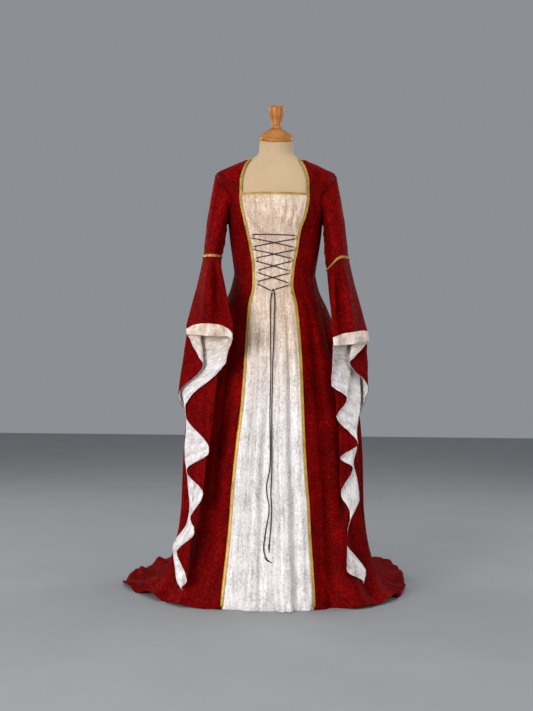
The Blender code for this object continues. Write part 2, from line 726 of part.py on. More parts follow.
def front_point(across, height, lift):
    """Point in front of the ivory panel, at a lift from its cloth."""
    panel = panels["centre_panel"]
    level = height
    if height < knee_level:
        low, high = 0.0, knee_level
        for _ in range(24):
            level = (low + high) / 2
            if gown_base(0.0, level).z > height:
                high = level
            else:
                low = level
    angle = math.asin(across / gown_base(math.pi / 2, max(level, knee_level)).x)
    start = seam(panel.start, level)
    share = (angle - start) / (seam(panel.end, level) - start)
    point = panel_point(panel, share, level, cloth + lift)
    return Vector((across, point.y, height))


def lacing_points():
    """The whole lacing, from the tie up one side, over the top and down the other side."""
    run = 0.0045
    places = []
    for strand, start in enumerate((left_loops, right_loops)):
        other = right_loops if start is left_loops else left_loops
        points = []
        for k in range(len(start)):
            x, z = (start if k % 2 == 0 else other)[k]
            turn = 0.0025 * (1 if x < 0 else -1)
            if k == 0:
                points.append((x + turn, z + run + 0.0020, loop_lift))
            points += [(x, z + run, loop_lift), (x, z, loop_lift), (x, z - run, loop_lift)]
            if k == len(start) - 1:
                break
            next_x, next_z = (other if k % 2 == 0 else start)[k + 1]
            over = (k + strand) % 2 == 0
            for t, rise in ((0.22, 0.0), (0.5, 1.0), (0.78, 0.0)):
                lift = mix(lace_lift, cross_lift, rise) if over else lace_lift
                points.append((mix(x, next_x, t), mix(z - run, next_z + run, t), lift))
        end_x, end_z = tie_ends[strand]
        side_way = -1 if strand == 0 else 1
        x, z, _ = points[-1]
        goal = (end_x + side_way * 0.0030, end_z + 0.0010)
        for t in (0.35, 0.7, 1.0):
            points.append((mix(x, goal[0], t), mix(z, goal[1], t), mix(lace_lift, 0.0036, t)))
        places.append(points)
    return [front_point(*place) for place in places[0][::-1] + top_bar() + places[1]]


def top_bar():
    (left_x, left_z), (right_x, right_z) = left_loops[0], right_loops[0]
    return [(mix(left_x, right_x, t), mix(left_z, right_z, t) + 0.0068, lace_lift)
            for t in (0.12, 0.31, 0.5, 0.69, 0.88)]


def build_lacing():
    """Lace loops, the crossed lace, its tie, and the two ends that hang from it."""
    for side, places in (("left", left_loops), ("right", right_loops)):
        for k, (x, z) in enumerate(places):
            bpy.ops.mesh.primitive_torus_add(major_radius=loop_major, minor_radius=loop_minor,
                                             major_segments=10, minor_segments=4,
                                             location=front_point(x, z, loop_lift))
            loop = bpy.context.object
            loop.name = f"lace_loop_{side}_{k + 1}"
            loop.data.name = loop.name
            loop.data.materials.append(ivory)
            for holder in list(loop.users_collection):
                holder.objects.unlink(loop)
            dress.objects.link(loop)
            loop.data.shade_smooth()
    tube("lace_crossed", lacing_points(), lace_radius, plum)
    tie = [front_point(x, z, 0.0038) for x, z in tie_ends]
    tie_points = [tie[0].lerp(tie[1], t) for t in (0.0, 0.25, 0.5, 0.75, 1.0)]
    tube("lace_tie", tie_points, 0.0030, plum, swells=[0.7, 1.0, 1.05, 1.0, 0.7])
    for side, route, knot in (("left", left_end_route, left_knot_route),
                              ("right", right_end_route, right_knot_route)):
        rise = [0.0] * (len(route) - 3) + [0.3, 0.7, 1.0]
        places = [front_point(x, z, end_lift + knot_lift * more) for (x, z), more in zip(route, rise)]
        points = smooth_route(places, 62)
        tube("lace_end_" + side, points, lace_radius, plum)
        way = (points[-1] - points[-2]).normalized()
        start = [points[-1] + way * along for along in (0.0004, 0.0040)]
        points = start + [front_point(x, z, end_lift + knot_lift) for x, z in knot]
        tube("lace_knot_" + side, points, lace_radius, plum, swells=[0.9, 1.8, 1.7, 0.9, 0.8])


for old in list(bpy.data.objects):
    bpy.data.objects.remove(old, do_unlink=True)
dress = bpy.data.collections.new("renaissance dress on a dress form")
bpy.context.scene.collection.children.link(dress)

red = make_material("red crushed velvet", (0.32, 0.008, 0.012), 0.65)
ivory = make_material("ivory crushed velvet", (0.80, 0.70, 0.60), 0.60)
gold = make_material("gold braid", (0.60, 0.42, 0.12), 0.45, 0.6)
plum = make_material("plum lacing cord", (0.06, 0.03, 0.035), 0.70)
linen = make_material("linen form cover", (0.70, 0.56, 0.38), 0.80)
wood = make_material("turned wood", (0.50, 0.22, 0.08), 0.40)
steel = make_material("painted steel", (0.05, 0.05, 0.05), 0.45, 0.4)

build_form()
build_panels()
build_upper_sleeves()
build_bells()
build_braids()
build_lacing()
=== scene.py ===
import math

import bmesh
import bpy
import numpy as np
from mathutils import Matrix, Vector


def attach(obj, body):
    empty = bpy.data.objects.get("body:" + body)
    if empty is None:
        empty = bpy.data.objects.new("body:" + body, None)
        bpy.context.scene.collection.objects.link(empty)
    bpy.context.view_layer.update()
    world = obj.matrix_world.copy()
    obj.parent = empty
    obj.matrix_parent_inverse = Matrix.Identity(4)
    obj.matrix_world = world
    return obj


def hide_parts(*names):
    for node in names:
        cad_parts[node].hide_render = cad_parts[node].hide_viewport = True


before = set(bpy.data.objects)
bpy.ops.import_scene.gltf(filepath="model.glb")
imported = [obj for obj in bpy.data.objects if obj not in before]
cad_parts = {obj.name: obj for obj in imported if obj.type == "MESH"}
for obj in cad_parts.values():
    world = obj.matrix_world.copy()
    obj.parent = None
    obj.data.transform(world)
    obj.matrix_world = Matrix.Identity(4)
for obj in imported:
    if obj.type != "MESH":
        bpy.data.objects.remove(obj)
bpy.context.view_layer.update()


def addObject(name, data, place=(0, 0, 0)):
    item = bpy.data.objects.new(name, data)
    item.location = place
    bpy.context.scene.collection.objects.link(item)
    return item


# camera
view = {
    "place": (-0.0244, -3.6, 0.766),
    "lens": 56.1,                  # millimetres, as the sensor's width
    "sensor": 36.0,
    "roll": 0.6,                   # degrees
}
camera = addObject("photoCamera", bpy.data.cameras.new("photoCamera"), view["place"])
camera.data.lens = view["lens"]
camera.data.sensor_width = view["sensor"]
camera.rotation_euler = (math.pi / 2, -math.radians(view["roll"]), 0)
bpy.context.scene.camera = camera
print("camera placed")


# number helpers, which take single values and arrays alike
def mix(a, b, t):
    return a + (b - a) * t


def ease(low, high, at):
    t = np.clip((at - low) / (high - low), 0.0, 1.0)
    return t * t * (3 - 2 * t)


def smoothTable(rows, column, at):
    # smooth value of a column, with no overshoot, in a table whose first column is its key
    keys = np.array([row[0] for row in rows], float)
    values = np.array([row[column] for row in rows], float)
    if keys[0] > keys[-1]:
        keys, values = keys[::-1], values[::-1]
    slopes = np.diff(values) / np.diff(keys)
    before, after = np.append(slopes[:1], slopes), np.append(slopes, slopes[-1:])
    product = before * after
    total = np.where(np.abs(before + after) < 1e-12, 1.0, before + after)
    ends = np.where(product > 0, 2 * product / total, 0.0)
    at = np.clip(at, keys[0], keys[-1])
    i = np.clip(np.searchsorted(keys, at, side="right") - 1, 0, len(keys) - 2)
    width = keys[i + 1] - keys[i]
    t = (at - keys[i]) / width
    return ((1 + 2 * t) * (1 - t) ** 2 * values[i] + t * (1 - t) ** 2 * width * ends[i]
            + t * t * (3 - 2 * t) * values[i + 1] + t * t * (t - 1) * width * ends[i + 1])


def stack(x, y, z):
    return np.stack(np.broadcast_arrays(np.asarray(x, float), y, z), axis=-1)


def unit(vectors):
    return vectors / np.maximum(np.linalg.norm(vectors, axis=-1, keepdims=True), 1e-12)


def lengthsAlong(points):
    # running length along the first axis of a row of points
    steps = np.linalg.norm(np.diff(points, axis=0), axis=-1)
    return np.concatenate([np.zeros_like(steps[:1]), np.cumsum(steps, axis=0)])


# the gown's own shape
gown = {
    "cloth": 0.0020,
    "ease": 0.0018,                # room between the form and the cloth on it
    "seamGap": 0.0003,
    "neckLevel": 1.398,
    "stomacherLevel": 1.282,
    "tipLevel": 1.353,
    "armpitLevel": 1.190,
    "waistLevel": 1.025,
    "kneeLevel": 0.280,
    "armholeHalf": 31.0,           # degrees
    "sweep": 0.13,                 # at most this far out does the skirt run on past the knee
    "hanging": (.45, .42, .90),    # curve from knee to hem: low point's reach and level, flat point's reach
    "lying": (.12, .28, .40),      # the same where the hem lies far out on the floor
    "lyingBetween": (.08, .15),    # reach from knee to hem where one goes over into the other
    "flatLevel": 0.30,
    "flatBetween": (.06, .16),
    "waistBlend": (.015, .020),
    "probe": (.004, .01),          # distance up and angle to the points that give a normal
}
# level, half width, front depth, back depth
formRings = [
    (1.466, .0540, .0540, .0540), (1.425, .0560, .0545, .0565), (1.410, .0680, .0550, .0600),
    (1.398, .0920, .0575, .0660), (1.385, .1240, .0630, .0740), (1.370, .1580, .0680, .0820),
    (1.353, .1900, .0730, .0900), (1.335, .1915, .0810, .0960), (1.300, .1790, .0930, .1020),
    (1.265, .1650, .1050, .1020), (1.228, .1550, .1130, .0980), (1.190, .1490, .1110, .0930),
    (1.130, .1420, .0980, .0850), (1.075, .1340, .0880, .0790), (1.025, .1280, .0830, .0780),
    (0.980, .1330, .0860, .0860), (0.920, .1500, .0950, .1040), (0.830, .1700, .1040, .1200),
    (0.740, .1660, .0980, .1140),
]
skirtRings = [
    (1.025, .1290, .0840, .0790), (0.980, .1400, .0900, .0910), (0.920, .1680, .1010, .1150),
    (0.840, .1980, .1180, .1440), (0.740, .2270, .1380, .1850), (0.640, .2500, .1570, .2280),
    (0.540, .2660, .1750, .2700), (0.420, .2740, .1950, .3200), (0.280, .2780, .2140, .3700),
]
# angle, and how far the hem lies from the pole on the +X and on the -X side
hemOutline = [
    (0, .282, .282), (22, .284, .290), (32, .284, .304), (42, .300, .335), (54, .368, .360),
    (66, .386, .380), (80, .412, .420), (92, .436, .474), (102, .456, .506), (116, .500, .514),
    (130, .600, .576), (145, .664, .630), (162, .730, .720), (180, .780, .780),
]
# level, and the ivory panel's edges as distances from centre front on the +X and -X side
panelEdges = [
    (1.410, .066, .071), (1.398, .072, .080), (1.365, .090, .100), (1.320, .101, .110),
    (1.268, .101, .110), (1.210, .091, .100), (1.165, .075, .089), (1.100, .066, .075),
    (1.050, .057, .068), (0.990, .053, .066), (0.920, .067, .079), (0.750, .081, .088),
    (0.620, .086, .095), (0.495, .091, .108), (0.370, .099, .119), (0.280, .106, .124),
    (0.000, .106, .124),
]


def onRing(rings, angle, level, extra=0.0):
    across = smoothTable(rings, 1, level) + extra
    front, back = smoothTable(rings, 2, level), smoothTable(rings, 3, level)
    depth = np.where(np.cos(angle) > 0, front, back) + extra
    return stack(across * np.sin(angle), -depth * np.cos(angle), level)


def hemPoint(angle):
    angle = (angle + math.pi) % (2 * math.pi) - math.pi
    knee = onRing(skirtRings, angle, gown["kneeLevel"])
    turned = np.arctan2(knee[..., 0], -knee[..., 1])
    turned = np.where(turned - angle > math.pi, turned - 2 * math.pi, turned)
    turned = np.where(angle - turned > math.pi, turned + 2 * math.pi, turned)
    direction = (angle + turned) / 2
    right, left = (smoothTable(hemOutline, column, np.degrees(np.abs(direction))) for column in (1, 2))
    reach = np.where(direction >= 0, right, left)
    return stack(reach * np.sin(direction), -reach * np.cos(direction), 0.0)


def gownBase(angle, level):
    # the dress without its folds; below the knee, level only counts down to 0 at the hem
    angle, level = np.broadcast_arrays(np.asarray(angle, float), np.asarray(level, float))
    kneeLevel = gown["kneeLevel"]
    bodice = onRing(formRings, angle, level, gown["ease"])
    skirt = onRing(skirtRings, angle, level)
    knee = onRing(skirtRings, angle, kneeLevel)
    hem = hemPoint(angle)
    run = (hem - knee) * np.array([1, 1, 0])
    reach = np.linalg.norm(run, axis=-1, keepdims=True)
    turn = run / reach * np.minimum(reach, gown["sweep"])
    lying = ease(*gown["lyingBetween"], reach)
    lowOut, lowLevel, flatOut = (mix(a, b, lying) for a, b in zip(gown["hanging"], gown["lying"]))
    low, flat = knee + turn * lowOut, knee + turn * flatOut
    low[..., 2] = kneeLevel * lowLevel[..., 0]
    flat[..., 2] = kneeLevel * gown["flatLevel"] * (1 - ease(*gown["flatBetween"], reach[..., 0]))
    t = np.clip(1 - level / kneeLevel, 0, 1)[..., None]
    floor = knee * (1 - t) ** 3 + low * 3 * t * (1 - t) ** 2 + flat * 3 * t * t * (1 - t) + hem * t ** 3
    level = level[..., None]
    below, above = gown["waistBlend"]
    skin = mix(skirt, bodice, ease(gown["waistLevel"] - below, gown["waistLevel"] + above, level))
    return np.where(level >= kneeLevel, skin, floor)


def gownNormal(angle, level):
    rise, turn = gown["probe"]
    high = np.minimum(level + rise, gown["neckLevel"])
    low = np.maximum(level - rise, 0.0)
    around = gownBase(angle + turn, level) - gownBase(angle - turn, level)
    down = gownBase(angle, low) - gownBase(angle, high)
    return unit(np.cross(down, around))


def armholeAngle(level):
    share = (level - gown["armpitLevel"]) / (gown["tipLevel"] - gown["armpitLevel"])
    inside = np.clip(share, 0, 1)
    return math.radians(gown["armholeHalf"]) * np.sin(math.pi * inside) ** 0.9


def panelEdge(sign, level):
    across = smoothTable(panelEdges, 1 if sign > 0 else 2, level)
    halfWidth = gownBase(math.pi / 2, np.maximum(level, gown["kneeLevel"]))[..., 0]
    return sign * np.arcsin(np.minimum(across / halfWidth, 0.98))


seams = {}
for side, sign in (("Right", 1), ("Left", -1)):
    seams["panel" + side] = lambda level, sign=sign: panelEdge(sign, level)
    seams[f"side{side}Front"] = lambda level, sign=sign: sign * (math.pi / 2 - armholeAngle(level))
    seams[f"side{side}Back"] = lambda level, sign=sign: sign * (math.pi / 2 + armholeAngle(level))
    seams["back" + side] = lambda level, sign=sign: np.full_like(np.asarray(level, float), sign * math.pi)
# where each panel starts and ends, and the heights of its folds at their ridges
panels = {
    "centrePanel": ("panelLeft", "panelRight", [.008, .009, .010, .008]),
    "frontRight": ("panelRight", "sideRightFront", [.008, .014, .019, .016]),
    "frontLeft": ("sideLeftFront", "panelLeft", [.016, .019, .014, .008]),
    "backRight": ("sideRightBack", "backRight", [.016, .020, .015, .024, .012]),
    "backLeft": ("backLeft", "sideLeftBack", [.012, .024, .015, .020, .016]),
}


def foldHeight(panel, share, level):
    ridges = np.array(panels[panel][2])
    waves = len(ridges) - 1
    place = np.clip(share, 0, 0.9999) * waves
    wave = place.astype(int)
    t = place - wave
    ridge = mix(ridges[wave], ridges[wave + 1], t)
    return ridge * (0.5 + 0.5 * np.cos(2 * math.pi * t)) * (1 - ease(0.55, 0.98, level))


def panelAngle(panel, share, level):
    start, end, _ = panels[panel]
    return mix(seams[start](level), seams[end](level), share)


def panelPoint(panel, share, level, lift=0.0):
    share, level = np.broadcast_arrays(np.asarray(share, float), np.asarray(level, float))
    angle = panelAngle(panel, share, level)
    height = np.asarray(foldHeight(panel, share, level) + lift)[..., None]
    point = gownBase(angle, level) + gownNormal(angle, level) * height
    point[..., 2] = np.maximum(point[..., 2], 0.0)
    return point


def frontPoint(across, height, lift):
    # point in front of the ivory panel at a height, at a lift from its cloth
    across, height, lift = (np.asarray(v, float) for v in (across, height, lift))
    low, high = np.zeros_like(height), np.full_like(height, gown["kneeLevel"])
    for _ in range(24):
        middle = (low + high) / 2
        above = gownBase(0.0, middle)[..., 2] > height
        high, low = np.where(above, middle, high), np.where(above, low, middle)
    level = np.where(height < gown["kneeLevel"], (low + high) / 2, height)
    halfWidth = gownBase(math.pi / 2, np.maximum(level, gown["kneeLevel"]))[..., 0]
    angle = np.arcsin(across / halfWidth)
    start, end = seams["panelLeft"](level), seams["panelRight"](level)
    point = panelPoint("centrePanel", (angle - start) / (end - start), level, gown["cloth"] + lift)
    return stack(across, point[..., 1], height)


# mesh helpers
def linkObject(mesh, material):
    mesh.materials.append(material)
    return addObject(mesh.name, mesh)


def settle(piece, *nodes):
    # the piece rides on the part and takes the place of these CAD nodes
    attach(piece, "root")
    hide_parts(*nodes)
    return piece


def reshape(mesh, work, turnOut=True):
    # edits a mesh and turns its faces outwards
    shape = bmesh.new()
    shape.from_mesh(mesh)
    work(shape)
    if turnOut:
        bmesh.ops.recalc_face_normals(shape, faces=shape.faces[:])
    shape.to_mesh(mesh)
    shape.free()
    mesh.shade_smooth()
    return mesh


def closeEnds(mesh, around):
    # closes a tube of rings at its first and last ring
    def fill(shape):
        shape.verts.ensure_lookup_table()
        for first in (0, len(shape.verts) - around):
            shape.faces.new([shape.verts[first + i] for i in range(around)])
    return reshape(mesh, fill)


def gridMesh(name, points, closed=False, across=None, down=None):
    # quads on rows of points, top to bottom, with the cloth's own map in metres
    rows, columns = points.shape[:2]
    if across is None:
        across = lengthsAlong(points.transpose(1, 0, 2)).T
        across = across - across[:, columns // 2:columns // 2 + 1]
    if down is None:
        down = np.repeat(lengthsAlong(points[:, columns // 2])[:, None], columns, axis=1)
    mesh = bpy.data.meshes.new(name)
    wide = columns if closed else columns - 1
    index = np.arange(rows * columns).reshape(rows, columns)
    left = index[:, :wide]
    right = np.roll(index, -1, axis=1)[:, :wide]
    faces = np.stack([left[:-1], left[1:], right[1:], right[:-1]], axis=-1).reshape(-1, 4)
    mesh.from_pydata(points.reshape(-1, 3).tolist(), [], faces.tolist())
    step = np.linalg.norm(points[:, 0] - points[:, -1], axis=-1)[:, None]
    nextAcross, nextDown = np.roll(across, -1, axis=1), np.roll(down, -1, axis=1)
    nextAcross[:, -1:] = across[:, -1:] + step
    corners = [(across[:-1], down[:-1]), (across[1:], down[1:]),
               (nextAcross[1:], nextDown[1:]), (nextAcross[:-1], nextDown[:-1])]
    uv = np.stack([np.stack([u[:, :wide], -v[:, :wide]], axis=-1) for u, v in corners], axis=2)
    layer = mesh.uv_layers.new(name="clothMap")
    layer.data.foreach_set("uv", uv.reshape(-1).astype(np.float32))
    mesh.shade_smooth()
    return mesh


def addWall(item, thickness, offset=1.0):
    wall = item.modifiers.new("wall", "SOLIDIFY")
    wall.thickness = thickness
    wall.offset = offset
    return item


def beyond(thickness, start):
    # Solidify offset for a wall that begins a distance outside its surface
    return 1 + 2 * start / thickness


def gridNormals(points, closed=False):
    if closed:
        around = np.roll(points, -1, axis=1) - np.roll(points, 1, axis=1)
    else:
        around = np.gradient(points, axis=1)
    return unit(np.cross(np.gradient(points, axis=0), around))


def creases(across, down, places):
    # soft ridges (height above 0) and troughs: start, end, width, height, and how far they bow
    total = np.zeros_like(across)
    for startX, startZ, endX, endZ, width, height, bow in places:
        wayX, wayZ = endX - startX, endZ - startZ
        long = math.hypot(wayX, wayZ)
        t = ((across - startX) * wayX + (down - startZ) * wayZ) / long ** 2
        off = ((across - startX) * wayZ - (down - startZ) * wayX) / long - bow * 4 * t * (1 - t)
        swell = np.where(off > 0, off / width, off / (width * 1.6))   # one flank is steeper
        total = total + height * np.exp(-swell ** 2) * ease(-0.12, 0.3, t) * (1 - ease(0.7, 1.12, t))
    return total


def wander(seed, across, down, size, height, stretch=2.5):
    # low uneven waviness: a few crossing sines with seeded directions
    chance = np.random.default_rng(seed)
    total = np.zeros_like(across)
    for _ in range(7):
        turn, phase = chance.uniform(-0.5, 0.5), chance.uniform(0, 2 * math.pi)
        pitch = size * chance.uniform(0.7, 1.8)
        along = across * math.cos(turn) / pitch + down * math.sin(turn) / (pitch * stretch)
        total = total + np.sin(2 * math.pi * along + phase + 1.3 * np.sin(down / (size * stretch) + phase))
    return total * height / 7


def smoothRoute(points, count):
    # even steps along a smooth curve through a route
    route = np.array(points, float)
    route = np.vstack([2 * route[0] - route[1], route, 2 * route[-1] - route[-2]])
    t = (np.arange(12) / 12)[:, None]
    fine = []
    for a, b, c, d in zip(route, route[1:], route[2:], route[3:]):
        fine.append((2 * b + (c - a) * t + (2 * a - 5 * b + 4 * c - d) * t * t
                     + (3 * b - a - 3 * c + d) * t ** 3) / 2)
    fine = np.vstack(fine + [route[-2:-1]])
    along = lengthsAlong(fine)
    goals = np.linspace(0, along[-1], count)
    return np.stack([np.interp(goals, along, fine[:, k]) for k in range(3)], axis=-1)


def tubeMesh(name, route, radii, around):
    # closed tube on a route, whose map runs along it in metres
    ways = unit(np.gradient(route, axis=0))
    side = unit(np.cross(ways[0], [0.3, 0.2, 1.0]))
    rings, radii = [], np.broadcast_to(radii, len(route))
    angles = np.arange(around) * 2 * math.pi / around
    for point, way, radius in zip(route, ways, radii):
        side = unit(side - way * np.dot(side, way))
        other = np.cross(way, side)
        rings.append(point + radius * (np.outer(np.cos(angles), side) + np.outer(np.sin(angles), other)))
    along = np.repeat(lengthsAlong(route)[:, None], around, axis=1)
    turned = np.repeat((angles * radii.mean())[None], len(route), axis=0)
    return closeEnds(gridMesh(name, np.array(rings), closed=True, across=turned, down=along), around)


# node helpers
class Nodes:
    # a node tree, to which one method adds every node
    def add(self, kind, settings=None, inputs=None):
        made = self.tree.nodes.new(kind)
        for key, value in (settings or {}).items():
            if key == "stops":
                self.setStops(made.color_ramp.elements, value)
            else:
                setattr(made, key, value)
        for key, value in (inputs or {}).items():
            self.feed(made.inputs[key], value)
        return made

    def setStops(self, ends, stops):
        while len(ends) < len(stops):
            ends.new(0.5)
        for end, (place, colour) in zip(ends, stops):
            end.position = place
            end.color = (*colour, 1.0)

    def node(self, *given):
        return self.add(*given).outputs[0]

    def feed(self, socket, value):
        if isinstance(value, Value):
            value = value.socket
        if isinstance(value, bpy.types.NodeSocket):
            self.tree.links.new(value, socket)
        else:
            socket.default_value = value


class Value:
    # one number that varies over a surface; Python's operators add the Math nodes
    def __init__(self, finish, socket):
        self.finish, self.socket = finish, socket

    def combine(self, operation, *others):
        inputs = dict(enumerate([self, *others]))
        return self.finish.number("ShaderNodeMath", {"operation": operation}, inputs)

    def __add__(self, other):
        return self.combine("ADD", other)

    def __mul__(self, other):
        return self.combine("MULTIPLY", other)

    def __sub__(self, other):
        return self.combine("SUBTRACT", other)

    def __rsub__(self, other):
        return self.combine("MULTIPLY_ADD", -1.0, other)

    __radd__, __rmul__ = __add__, __mul__

    def sine(self):
        return self.combine("SINE")

    def between(self, low, high):
        # eases from 0 at low to 1 at high
        return self.finish.number("ShaderNodeMapRange", {"interpolation_type": "SMOOTHSTEP"},
                                  {0: self, 1: low, 2: high, 3: 0.0, 4: 1.0})


class Finish(Nodes):
    # a material that is built from nodes
    def __init__(self, name, **fixed):
        self.material = bpy.data.materials.new(name)
        self.material.use_nodes = True
        self.tree = self.material.node_tree
        self.shader = self.tree.nodes["Principled BSDF"]
        for socket, value in fixed.items():
            self.shader.inputs[socket.replace("_", " ")].default_value = value

    def number(self, *given):
        return Value(self, self.node(*given))

    def coords(self, kind="Object", scale=(1, 1, 1)):
        return self.stretched(self.add("ShaderNodeTexCoord").outputs[kind], scale)

    def stretched(self, coords, scale):
        return self.node("ShaderNodeMapping", {}, {0: coords, 3: scale})

    def noise(self, coords, scale, detail=3.0, distortion=0.0, roughness=0.55):
        return self.number("ShaderNodeTexNoise", {}, {
            "Vector": coords, "Scale": scale, "Detail": detail, "Distortion": distortion,
            "Roughness": roughness})

    def cellEdges(self, coords, scale):
        return self.number("ShaderNodeTexVoronoi", {"feature": "DISTANCE_TO_EDGE"},
                           {"Vector": coords, "Scale": scale})

    def split(self, coords):
        made = self.add("ShaderNodeSeparateXYZ", {}, {0: coords})
        return [Value(self, socket) for socket in made.outputs]

    def shifted(self, coords, pushes):
        # coords pushed about by up to three numbers
        push = self.node("ShaderNodeCombineXYZ", {}, dict(enumerate(pushes)))
        return self.node("ShaderNodeVectorMath", {"operation": "ADD"}, {0: coords, 1: push})

    def blendColours(self, share, first, second):
        return self.add("ShaderNodeMix", {"data_type": "RGBA"}, {0: share, 6: first, 7: second}).outputs[2]

    def ramp(self, share, stops):
        return self.node("ShaderNodeValToRGB", {"stops": stops}, {0: share})

    def bump(self, height, strength, distance):
        inputs = {"Height": height, "Strength": strength, "Distance": distance}
        self.feed(self.shader.inputs["Normal"], self.node("ShaderNodeBump", {}, inputs))

    def surface(self, **values):
        for socket, value in values.items():
            self.feed(self.shader.inputs[socket.replace("_", " ")], value)
        return self.material


def crushedVelvet(name, look):
    # pile pressed in small flecks and long soft streaks; the base colour holds the cloth's crushed pattern
    # and also painted sheen and painted shade, bright where the nap shines and dark where it goes dull
    velvet = Finish(name, Sheen_Weight=look["sheen"], Sheen_Roughness=look["sheenRough"],
                    Sheen_Tint=(*look["sheenTint"], 1.0), Specular_IOR_Level=look["gloss"])
    cloth = velvet.coords("UV")
    drift = velvet.noise(cloth, look["drift"], 2.0)
    pushed = velvet.shifted(cloth, [drift * look["push"], (1 - drift) * look["push"] * 0.6])
    stretched = velvet.stretched(pushed, (1.0, look["stretch"], 1.0))
    flecks = velvet.noise(stretched, look["fleck"], 4.0, 0.5, 0.66)
    patches = velvet.noise(stretched, look["patch"], 3.0, 0.4, 0.60)
    edges = velvet.cellEdges(stretched, look["crush"])
    streaks = velvet.noise(velvet.stretched(cloth, (1.0, 0.09, 1.0)), look["streak"], 3.0)
    broad = velvet.noise(cloth, look["broad"], 1.0)
    pile = velvet.noise(cloth, look["pile"], 1.0)
    # crease lines: grooves in the bump, and painted shade in the colour
    crease = 1 - edges.between(0.0, look["creaseWidth"])
    nap = flecks.between(*look["napRange"])
    # the cloth's own crushed pattern mixed with painted sheen and painted shade, turned into colour by the
    # stops
    sheenAndCrushTone = (nap * look["fleckShare"] + patches * look["patchShare"] + streaks * look["streakShare"]
            + broad * look["broadShare"] - crease * look["creaseShade"] + (pile - 0.5) * 0.08)
    colour = velvet.ramp(sheenAndCrushTone, look["stops"])
    if "warmStops" in look:        # the cloth looks warmer up by the bodice
        height = velvet.split(velvet.coords("Object"))[2]
        warm = velvet.ramp(sheenAndCrushTone, look["warmStops"])
        colour = velvet.blendColours(height.between(*look["warmBetween"]), colour, warm)
    rough = (1 - nap) * look["roughSpan"] + look["roughLow"]
    velvet.bump(nap * 0.4 + patches * 0.5 - crease * 0.3 + pile * 0.08, look["bump"], 0.0010)
    return velvet.surface(Base_Color=colour, Roughness=rough)


redLook = {
    "sheen": 0.05, "sheenRough": 0.35, "sheenTint": (1.0, 0.05, 0.04), "gloss": 0.035,
    "drift": 16.0, "push": 0.016, "stretch": 0.62, "fleck": 190.0, "patch": 36.0, "crush": 64.0,
    "pile": 1900.0, "streak": 48.0, "broad": 9.0, "creaseWidth": 0.060, "creaseShade": 0.08,
    "napRange": (0.38, 0.64),
    "fleckShare": 0.20, "patchShare": 0.32, "streakShare": 0.27, "broadShare": 0.21,
    "roughLow": 0.55, "roughSpan": 0.25, "bump": 0.55,
    "stops": [(0.28, (.056, .0001, .0002)), (0.42, (.108, .0002, .0003)), (0.54, (.172, .0005, .0007)),
              (0.70, (.320, .0020, .0024))],
}
ivoryLook = {
    "sheen": 0.15, "sheenRough": 0.40, "sheenTint": (1.0, 0.97, 0.94), "gloss": 0.50,
    "drift": 20.0, "push": 0.014, "stretch": 0.50, "fleck": 240.0, "patch": 110.0, "crush": 74.0,
    "pile": 1900.0, "streak": 130.0, "broad": 16.0, "creaseWidth": 0.045, "creaseShade": 0.05,
    "napRange": (0.34, 0.66),
    "fleckShare": 0.16, "patchShare": 0.23, "streakShare": 0.36, "broadShare": 0.25,
    "roughLow": 0.20, "roughSpan": 0.32, "bump": 0.60, "warmBetween": (0.52, 0.96),
    "stops": [(0.30, (.340, .295, .280)), (0.42, (.600, .545, .525)), (0.52, (.790, .740, .725)),
              (0.66, (.960, .930, .920))],
    "warmStops": [(0.30, (.340, .225, .155)), (0.42, (.560, .390, .280)), (0.52, (.720, .530, .395)),
                  (0.66, (.950, .810, .670))],
}
red = crushedVelvet("redCrushedVelvet", redLook)
ivory = crushedVelvet("ivoryCrushedVelvet", ivoryLook)
# the lining's broad patches are larger and stronger: painted satin highlights and painted grey shade
ivoryInside = crushedVelvet("ivoryLiningVelvet", {
    **ivoryLook, "warmBetween": (0.70, 0.90), "broad": 30.0, "broadShare": 0.50, "streakShare": 0.16,
    "patchShare": 0.18})

# gold braid: lurex strands, with painted shade where they go under
goldFinish = Finish("goldBraid", Metallic=0.75)
goldPlace = goldFinish.coords("Object")
goldMottle = goldFinish.noise(goldPlace, 420.0, 2.0)
goldWear = goldFinish.noise(goldPlace, 26.0, 2.0)
gold = goldFinish.surface(
    Base_Color=goldFinish.ramp(
        goldMottle * 0.6 + goldWear * 0.4,
        [(0.25, (.22, .12, .020)), (0.50, (.55, .35, .080)), (0.75, (.84, .62, .21))]),
    Roughness=goldMottle * 0.25 + 0.28)

# plum cord: twisted strands round the lace, on its own map
plumLook = {"pitchAcross": 0.0038, "pitchAlong": 0.0042, "relief": 0.0006}
plumFinish = Finish("plumCord", Sheen_Weight=0.25, Sheen_Roughness=0.4, Specular_IOR_Level=0.3)
plumAcross, plumAlong, _ = plumFinish.split(plumFinish.coords("UV"))
plumTwist = (plumAcross * (2 * math.pi / plumLook["pitchAcross"])
             + plumAlong * (2 * math.pi / plumLook["pitchAlong"])).sine() * 0.5 + 0.5
plumFinish.bump(plumTwist, 0.8, plumLook["relief"])
# the colour follows the twist's relief: painted shade in the grooves between strands
plum = plumFinish.surface(
    Base_Color=plumFinish.blendColours(plumTwist, (.014, .005, .010, 1), (.060, .026, .036, 1)),
    Roughness=0.72 - plumTwist * 0.15)
print("cloth and cord finishes made")

